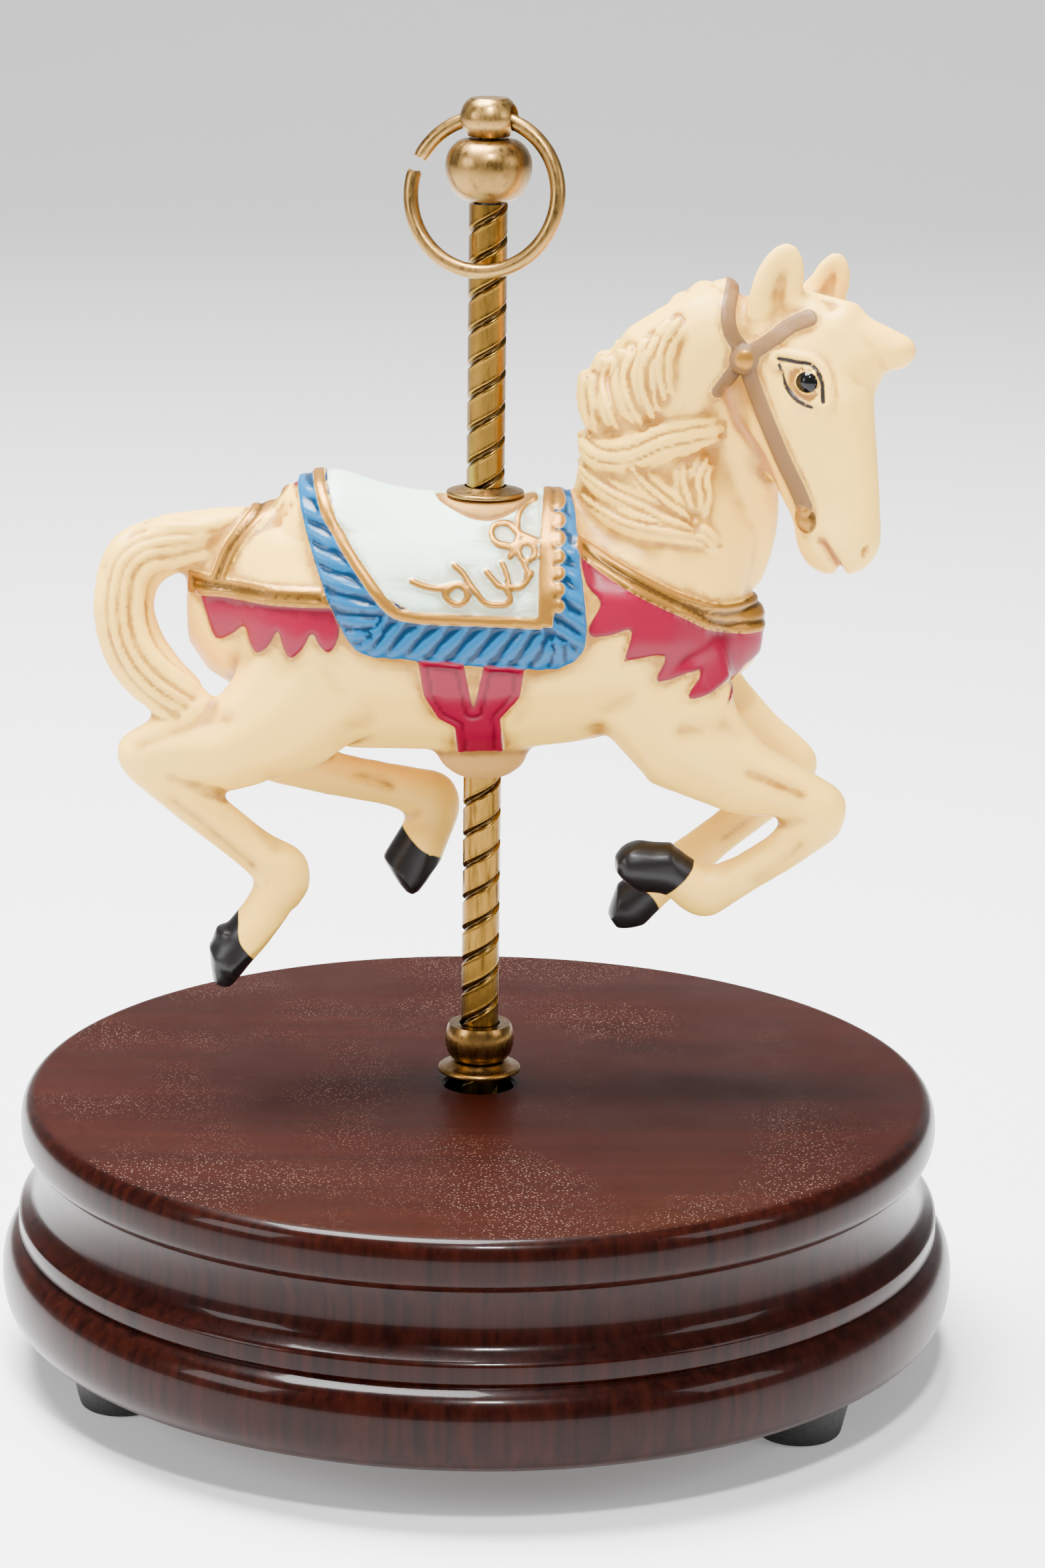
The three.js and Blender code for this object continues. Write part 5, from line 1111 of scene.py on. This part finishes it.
class Paintwork:
    """Works out, for each point of the horse's skin, how far it is raised (lift, in mm), how much
    extra wash it holds (dark; in the blue gathers' valleys this is painted shade), and how far inside each painted
    region's edge it lies (mm)."""

    def __init__(self, points, normals):
        place = points / MM
        place[:, 2] -= BASE_TOP / MM
        self.flat = place[:, (0, 2)]
        self.x, self.y, self.z = place.T
        self.reach = np.hypot(self.x, self.y)
        self.facing = normals[:, 1]
        self.lift = np.zeros(len(points))
        self.dark = np.zeros(len(points))
        head_side = (place - HEAD_PLACE) @ HEAD_OUTWARD
        mirrored = place - 2 * np.minimum(head_side, 0.0)[:, None] * HEAD_OUTWARD
        self.face = mirrored[:, (0, 2)]
        self.on_head = (self.z > 88) & (self.x > 36)
        self.on_cheek = self.on_head & (np.abs(head_side) > 3.0)

    def worked(self):
        """Work every part over the skin, all but the bare clay round the pole's holes."""
        near_a_hole = (self.z > SADDLE_BOSS_FOOT) | (self.z < BELLY_BOSS_TOP)
        self.boss = only(near_a_hole, BARE_CLAY_RADIUS - self.reach)
        self.saddle()
        self.chest_and_banners()
        self.girth_strap()
        self.fringe_and_breeching()
        self.bridle()
        self.eyes()
        self.nostril_mouth_and_jaw()
        self.hooves()
        self.creases()
        self.mane()
        self.tail()
        self.ears()
        bare = ease(-self.boss, -0.3, 0.3)
        return self.lift * bare, self.dark * bare

    def regions(self):
        gilt_edge = np.minimum(self.trim, self.blanket + 0.2)
        gold = np.maximum.reduce((gilt_edge, self.scroll, self.chest, self.breech, self.rosette,
                                  self.bit))
        crimson = np.maximum.reduce((np.minimum(self.banner, -self.chest), self.girth,
                                     np.minimum(self.fringe, -self.breech),
                                     inside_distance(self.flat, CANTLE_SPOT)))
        painted = {"mint": np.minimum(self.seat, self.blanket), "blue": self.blue,
                   "crimson": crimson, "bridle": self.straps, "gold": gold, "hoof": self.hoof,
                   "peach": self.peach, "liner": self.lids, "eye": self.eye}
        painted = {name: np.minimum(values, -self.boss) for name, values in painted.items()}
        return {"raw": self.boss, **painted}

    def saddle(self):
        """The seat with its beaded stripe and scrolls, and the blanket's gathered blue edge."""
        flat, x, z = self.flat, self.x, self.z
        torso = (z < 112) & (self.reach < 75)
        hem = smooth_line(BLANKET, 3)
        self.blanket = only(torso, inside_distance(flat, hem))
        self.seat = only(torso, inside_distance(flat, SEAT))
        line = SEAT_PIPING - stroke_distance(flat, SEAT_LINE)
        beads = BEAD_RADIUS - np.hypot(x - BEAD_COLUMN, z % BEAD_PITCH - BEAD_PITCH / 2)
        beads = only((z > BEADS_FROM) & (z < BEADS_TO), beads)
        stripe = np.maximum(inside_distance(flat, STRIPE), beads)
        self.trim = np.maximum(line, stripe)
        scroll = [SCROLL_LINE - stroke_distance(flat, drawing) for drawing in SCROLLS]
        self.scroll = only(self.y < 0, np.maximum.reduce(scroll))
        self.blue = np.minimum(self.blanket, -np.maximum(self.seat, self.trim))
        edge, run = line_distance(flat, hem, True)
        gather = run - 0.75 * edge + 0.5 * np.sin(run / 5.0)
        fold = 0.5 + 0.5 * np.cos(2 * np.pi * gather / GATHER_PITCH)
        self.lift += 0.9 * ease(self.blanket, -0.35, 0.45)
        gathers = 0.45 * (1 - fold) * ease(self.blue, -0.3, 0.8)
        self.lift -= np.where(self.blue > -0.4, gathers, 0.0)
        self.lift += 0.35 * ease(self.trim, -0.3, 0.4) * (self.blanket > -1)
        self.lift += 0.55 * ease(self.scroll, -0.3, 0.5)
        # Painted shade in the valleys between the blue gathers, kept in dark beside the wash.
        shade = 0.30 * (1 - fold) ** 3 * ease(self.blue, 0.0, 0.8)
        self.dark += np.where(self.blue > 0, shade, 0.0)

    def chest_and_banners(self):
        below_head = (self.x < 46.4) | (self.z < 88)
        self.chest = only(below_head, rounded_inside(self.flat, CHEST_BAND))
        self.banner = only(below_head, rounded_inside(self.flat, BANNER))
        self.lift += 0.7 * ease(self.chest, -0.3, 0.4)
        groove = crease(self.chest - 1.55, 0.42)
        self.lift -= 0.35 * groove
        self.dark += 0.55 * groove
        open_cloth = self.chest < 0
        self.lift += 0.45 * ease(self.banner, -0.3, 0.4) * open_cloth
        hem = 0.45 * ease(-np.abs(self.banner - 0.2), -0.7, 0.0)
        self.dark += np.where(open_cloth, hem, 0.0)

    def girth_strap(self):
        self.girth = only(self.z < 80, inside_distance(self.flat, GIRTH))
        strands = crease(self.girth - 1.35, 0.32)
        self.lift += 0.6 * ease(self.girth, -0.3, 0.4) - 0.25 * strands
        self.dark += 0.45 * strands

    def fringe_and_breeching(self):
        """The crimson fringe and the gold band over it, both behind the blanket."""
        hindquarter = (self.z > 76) & (self.x < -20)
        fringe = only(hindquarter, rounded_inside(self.flat, FRINGE))
        self.fringe = np.minimum(fringe, -self.blanket)
        self.lift += 0.5 * ease(self.fringe, -0.3, 0.6)
        self.dark += 0.4 * crease(self.fringe - 0.1, 0.35)
        strap = 1.25 - stroke_distance(self.flat, RUMP_STRAP)
        band = np.maximum(inside_distance(self.flat, BREECH_BAND), strap)
        self.breech = np.minimum(band, -self.blanket)
        ridge = crease(self.breech - 1.3, 0.35)
        self.lift += 0.6 * ease(self.breech, -0.3, 0.4) - 0.3 * ridge
        self.dark += 0.7 * ridge

    def bridle(self):
        """Straps, the rosette where they meet, and the bit."""
        rosette_gap = gap_to(self.face, ROSETTE)
        drawn = [half - stroke_distance(self.face, drawing)
                 for drawing, half in ((CHEEK_STRAP, 1.35), (BROW_STRAP, 1.3),
                                       (CROWN_STRAP, 1.25), (THROAT_STRAP, 1.3))]
        self.straps = only(self.on_head, np.maximum.reduce(drawn + [2.5 - rosette_gap]))
        self.rosette = only(self.on_head, 1.35 - rosette_gap)
        self.bit = only(self.on_head, (1.0 - gap_to(self.face, BIT, (1.65, 2.2))) * 1.9)
        self.lift += 0.5 * ease(self.straps, -0.3, 0.4)

    def eyes(self):
        eye_gap = gap_to(self.face, EYE)
        brow = stroke_distance(self.face, UPPER_LID)
        self.eye = only(self.on_cheek, 1.75 - eye_gap)
        lids = np.maximum(0.36 - brow, 0.34 - stroke_distance(self.face, LOWER_LID))
        self.lids = only(self.on_cheek, lids)
        self.lift += 0.55 * crease(brow - 0.9, 0.7) * (self.on_cheek & (eye_gap > 2.0))
        self.lift -= 0.8 * crease(eye_gap - 2.5, 0.45) * (self.on_cheek & (brow > 0.8))

    def nostril_mouth_and_jaw(self):
        """The muzzle's hollows, and the peach blush in the mouth, jaw line and under the eye."""
        self.nostril = crease(gap_to(self.face, NOSTRIL), 1.25) * self.on_cheek
        self.mouth = crease(stroke_distance(self.face, MOUTH), 0.7) * self.on_head
        jaw = crease(stroke_distance(self.face, JAW_LINE), 0.8) * self.on_cheek
        self.lift -= 1.1 * self.nostril + 1.8 * self.mouth + 0.6 * jaw
        under_eye = crease(gap_to(self.face, UNDER_EYE), 1.6) * self.on_cheek
        blush = np.maximum.reduce((0.9 * self.mouth, 0.7 * jaw, 0.5 * under_eye))
        self.peach = blush * 1.1 - 0.55

    def hooves(self):
        black = [only(self.y * side > 0, rounded_inside(self.flat, outline, 4))
                 for side, _, _, _, outline in HOOVES]
        self.hoof = np.maximum.reduce(black)

    def creases(self):
        for side, depth, half, drawing in CREASES:
            gap, along = line_distance(self.flat, smooth_line(drawing))
            fade = ease(along, 0.0, 3.5) * ease(along.max() - along, 0.0, 3.5)
            there = np.where(self.y * side > 4.0, depth * fade, 0.0)
            self.lift -= 0.8 * there * crease(gap, 1.5 * half)
            self.dark += 0.75 * there * crease(gap, 1.9 * half)

    def mane(self):
        """Two fine grooves down each lock."""
        on_neck = (np.abs(self.y) > 3.0) & (self.x < 39.5) & (self.z > 96)
        for drawing, half in ([(curl, 0.8) for curl in CREST_LOCKS] + [(LONG_LOCK, 1.1)]
                              + [(curl, 0.75) for curl in FAN_LOCKS]):
            strand = crease(stroke_distance(self.flat, drawing) - half, 0.42) * on_neck
            self.lift -= 0.34 * strand
            self.dark += 0.34 * strand

    def tail(self):
        hair = (self.x < -30) & (self.breech < -0.4)
        for share in (0.22, 0.48, 0.74):
            drawing = between(TAIL_OUTER, TAIL_INNER, share)
            strand = crease(stroke_distance(self.flat, drawing), 0.75) * hair
            self.lift -= 0.4 * strand
            self.dark += (0.10 + 0.45 * share) * strand

    def ears(self):
        """The cup in each ear, open to the near side."""
        for (ear_x, ear_z), (half_wide, half_high), lean in EAR_HOLLOWS:
            tilt = math.radians(lean)
            forward, up = self.x - ear_x, self.z - ear_z
            across = forward * math.cos(tilt) - up * math.sin(tilt)
            along = forward * math.sin(tilt) + up * math.cos(tilt)
            cup = crease(np.hypot(across / half_wide, along / half_high), 1.0)
            cup *= (self.z > 132) & (self.facing < -0.3)
            self.lift -= cup
            self.dark += 0.32 * cup


class MUSICBOX_OT_horse(bpy.types.Operator):
    """Sculpt and paint the carousel horse over its CAD body"""
    bl_idname = "musicbox.horse"
    bl_label = "Carousel horse"

    def execute(self, context):
        sizes = context.scene.musicbox_sizes
        skin = self.rough_body()
        self.tree = BVHTree.FromObject(skin, bpy.context.evaluated_depsgraph_get())
        locks = self.hair()
        clear_selection()
        skin.select_set(True)
        locks.select_set(True)
        bpy.context.view_layer.objects.active = skin
        bpy.ops.object.join()
        apply_modifier(skin, "REMESH", mode="VOXEL", voxel_size=sizes.skin_voxel,
                       adaptivity=0.0)
        apply_modifier(skin, "SMOOTH", factor=0.5, iterations=2)
        self.shape_hooves(skin)
        self.paint(skin)
        triangles = sum(len(face.vertices) - 2 for face in skin.data.polygons)
        if triangles > MOST_TRIANGLES:
            apply_modifier(skin, "DECIMATE", ratio=MOST_TRIANGLES / triangles)
        settle(skin, "painted_horse", 180.0)
        finish_piece(skin, "carousel", "glazed_ceramic",
                     painted_bisque(context.scene.musicbox_colours), "carousel_horse")
        return {"FINISHED"}

    def rough_body(self):
        """The CAD horse with its throat filled in, rounded off all over."""
        body = frame["nodes"]["carousel_horse"].copy()
        body.data = body.data.copy()
        for key in list(body.keys()):
            del body[key]
        body.parent = None
        body.matrix_world = Matrix.Identity(4)
        bpy.context.scene.collection.objects.link(body)
        edit_all(body)
        bpy.ops.mesh.remove_doubles(threshold=1e-6)
        bpy.ops.object.mode_set(mode="OBJECT")
        throat = Locks()
        throat.sweep(THROAT, 5.0, 6.4, (1.0, 0.0, 0.2), sides=20, taper=(0.8, 0.9))
        filled = throat.piece("throat")
        clear_selection()
        filled.select_set(True)
        body.select_set(True)
        bpy.context.view_layer.objects.active = body
        bpy.ops.object.join()
        apply_modifier(body, "REMESH", mode="VOXEL", voxel_size=0.85 * MM)
        apply_modifier(body, "SMOOTH", factor=0.5, iterations=9)
        return body

    def on_skin(self, x, z, side, lift=0.2, fallback=3.0):
        """The place on the horse's near (-1) or far (1) side at a point of the side plane."""
        start = Vector((x * MM, side * 60 * MM, BASE_TOP + z * MM))
        hit = self.tree.ray_cast(start, Vector((0.0, -side, 0.0)))[0]
        y = hit.y / MM + side * lift if hit else side * fallback
        return (x, y, z)

    def hair(self):
        """Locks, tail strands, ears and the other small forms that are added to the body."""
        locks = Locks()
        for side in (-1, 1):
            out = (0.0, side, 0.15)
            for line in CREST_LOCKS:
                route = [self.on_skin(x, z, side, 0.5) for x, z in line]
                locks.sweep(route, 2.3, 1.7, out, flutes=5, taper=(0.75, 0.3))
            route = [self.on_skin(x, z, side, 0.3) for x, z in LONG_LOCK]
            locks.sweep(route, 3.3, 1.8, out, flutes=6, taper=(0.5, 0.3))
            for line in FAN_LOCKS:
                route = [self.on_skin(x, z, side, 0.2) for x, z in line]
                locks.sweep(route, 2.2, 1.5, out, flutes=5, taper=(0.5, 0.35))
            for step in range(6):
                line = between(TAIL_OUTER, TAIL_INNER, (step + 0.5) / 6)
                route = [self.on_skin(x, z, side, -0.2, 2.0) for x, z in line[2:]]
                locks.sweep(route, 1.25, 1.0, out, sides=10, taper=(0.6, 0.5))
        for x, z, radius in CREST_PUFFS:
            locks.blob((x, -1.0, z), (radius, 4.2, radius))
        for wide, route in HOOF_TIPS:
            locks.sweep(route, wide, 4.2, (0.0, 1.0, 0.0), taper=(0.9, 0.6))
        for centre, radii, lean in EARS:
            tilt = math.radians(lean)
            turn = ((math.cos(tilt), 0.0, -math.sin(tilt)), (0.0, 1.0, 0.0),
                    (math.sin(tilt), 0.0, math.cos(tilt)))
            locks.blob(centre, radii, turn)
        locks.blob(FORELOCK, FORELOCK_SIZE)
        for side in (-1, 1):
            locks.blob(self.head_place(EYE, side) + 0.9 * HEAD_OUTWARD * side, (2.05, 2.05, 2.05))
            locks.blob(self.head_place(ROSETTE, side), (2.1, 1.5, 2.1))
            locks.blob(self.head_place(BIT, side), (1.7, 1.3, 2.3))
        return locks.piece("hair")

    def head_place(self, place, side):
        """A point on the head's near or far cheek; the far one mirrors the near one."""
        near = np.array(self.on_skin(place[0], place[1], -1, 0.0, 12.0))
        if side < 0:
            return near
        return near - 2 * (near - HEAD_PLACE).dot(HEAD_OUTWARD) * HEAD_OUTWARD

    def shape_hooves(self, skin):
        """Pare each hoof to its almond outline, rounded off towards its two sides."""
        points = vertices_of(skin)
        place = points / MM
        place[:, 2] -= BASE_TOP / MM
        probe = 0.15
        for side, middle, (x0, x1, z0, z1), outline, _ in HOOVES:
            near = ((place[:, 1] * side > 0) & (place[:, 0] > x0) & (place[:, 0] < x1)
                    & (place[:, 2] > z0) & (place[:, 2] < z1))
            flat = place[near][:, (0, 2)]
            hold = (ease(flat[:, 0], x0, x0 + 2) * ease(-flat[:, 0], -x1, 2 - x1)
                    * ease(-flat[:, 1], -z1, 2 - z1))
            curve = smooth_line(outline + outline[:1], 4)
            share = np.clip(np.abs(place[near, 1] - middle) / HOOF_HALF_THICKNESS, 0.0, 1.0)
            margin = HOOF_ROUNDING * (1.0 - np.sqrt(1.0 - share ** 2))
            for _ in range(3):
                gap = inside_distance(flat, curve)
                pull = np.maximum(margin - gap, 0.0) * hold
                slope = np.empty_like(flat)
                for axis in (0, 1):
                    step = np.zeros(2)
                    step[axis] = probe
                    slope[:, axis] = (inside_distance(flat + step, curve)
                                      - inside_distance(flat - step, curve)) / (2 * probe)
                size = np.maximum(np.linalg.norm(slope, axis=1), 0.3)
                flat = flat + slope / size[:, None] * pull[:, None]
            moved = place[near]
            moved[:, 0], moved[:, 2] = flat[:, 0], flat[:, 1]
            place[near] = moved
        place[:, 2] += BASE_TOP / MM
        set_vertices(skin, place * MM)
        apply_modifier(skin, "SMOOTH", factor=0.5, iterations=2)

    def paint(self, skin):
        """Raise the tack, work the creases in, and write each painted region into the mesh."""
        points = vertices_of(skin)
        normals = normals_of(skin)
        work = Paintwork(points, normals)
        lift, dark = work.worked()
        points += normals * (lift * MM)[:, None]
        set_vertices(skin, points)
        # The hollow attribute carries the wash, and in the blue gathers painted shade as well.
        hollow = self.hollows(skin, points) + dark
        hollow += 0.35 * work.nostril + 0.3 * work.mouth
        number_attribute(skin, "hollow", np.clip(hollow, 0.0, 1.0))
        for name, values in work.regions().items():
            number_attribute(skin, name, values)

    def hollows(self, skin, points):
        """How deep each point lies in a crease, from a blurred copy of the surface."""
        edges = np.empty(len(skin.data.edges) * 2, dtype=np.int64)
        skin.data.edges.foreach_get("vertices", edges)
        edges = edges.reshape(-1, 2)
        count = len(points)
        degree = np.bincount(edges.ravel(), minlength=count).astype(float)
        blurred = points.copy()
        out = np.zeros(count)
        normals = normals_of(skin)
        for step in range(1, max(HOLLOW_DEPTHS) + 1):
            total = np.empty_like(blurred)
            for axis in range(3):
                total[:, axis] = (np.bincount(edges[:, 0], blurred[edges[:, 1], axis], count)
                                  + np.bincount(edges[:, 1], blurred[edges[:, 0], axis], count))
            blurred = total / degree[:, None]
            if step in HOLLOW_DEPTHS:
                depth = ((blurred - points) * normals).sum(axis=1) / MM
                out = np.maximum(out, np.clip(depth / HOLLOW_DEPTHS[step], 0.0, 1.0))
        return out


# ---- Sidebar panel and registration ----------------------------------------------------------
class MUSICBOX_PT_panel(bpy.types.Panel):
    """Lists the music box's pieces"""
    bl_label = "Carousel Music Box"
    bl_idname = "MUSICBOX_PT_panel"
    bl_space_type = "VIEW_3D"
    bl_region_type = "UI"
    bl_category = "Music Box"

    def draw(self, context):
        layout = self.layout
        for group in (context.scene.musicbox_sizes, context.scene.musicbox_colours):
            for name in group.bl_rna.properties.keys():
                if name not in ("rna_type", "name"):
                    layout.prop(group, name)
        for operator in OPERATORS:
            layout.operator(operator.bl_idname)


OPERATORS = (MUSICBOX_OT_stage, MUSICBOX_OT_base, MUSICBOX_OT_pole, MUSICBOX_OT_movement,
             MUSICBOX_OT_horse)
CLASSES = (MusicBoxSizes, MusicBoxColours, *OPERATORS, MUSICBOX_PT_panel)


def register():
    for item in CLASSES:
        bpy.utils.register_class(item)
    bpy.types.Scene.musicbox_sizes = bpy.props.PointerProperty(type=MusicBoxSizes)
    bpy.types.Scene.musicbox_colours = bpy.props.PointerProperty(type=MusicBoxColours)


def unregister():
    del bpy.types.Scene.musicbox_colours
    del bpy.types.Scene.musicbox_sizes
    for item in reversed(CLASSES):
        bpy.utils.unregister_class(item)


def main():
    register()
    bpy.ops.musicbox.stage()
    bpy.ops.musicbox.base()
    bpy.ops.musicbox.pole()
    bpy.ops.musicbox.movement()
    bpy.ops.musicbox.horse()


if __name__ == "__main__":
    main()
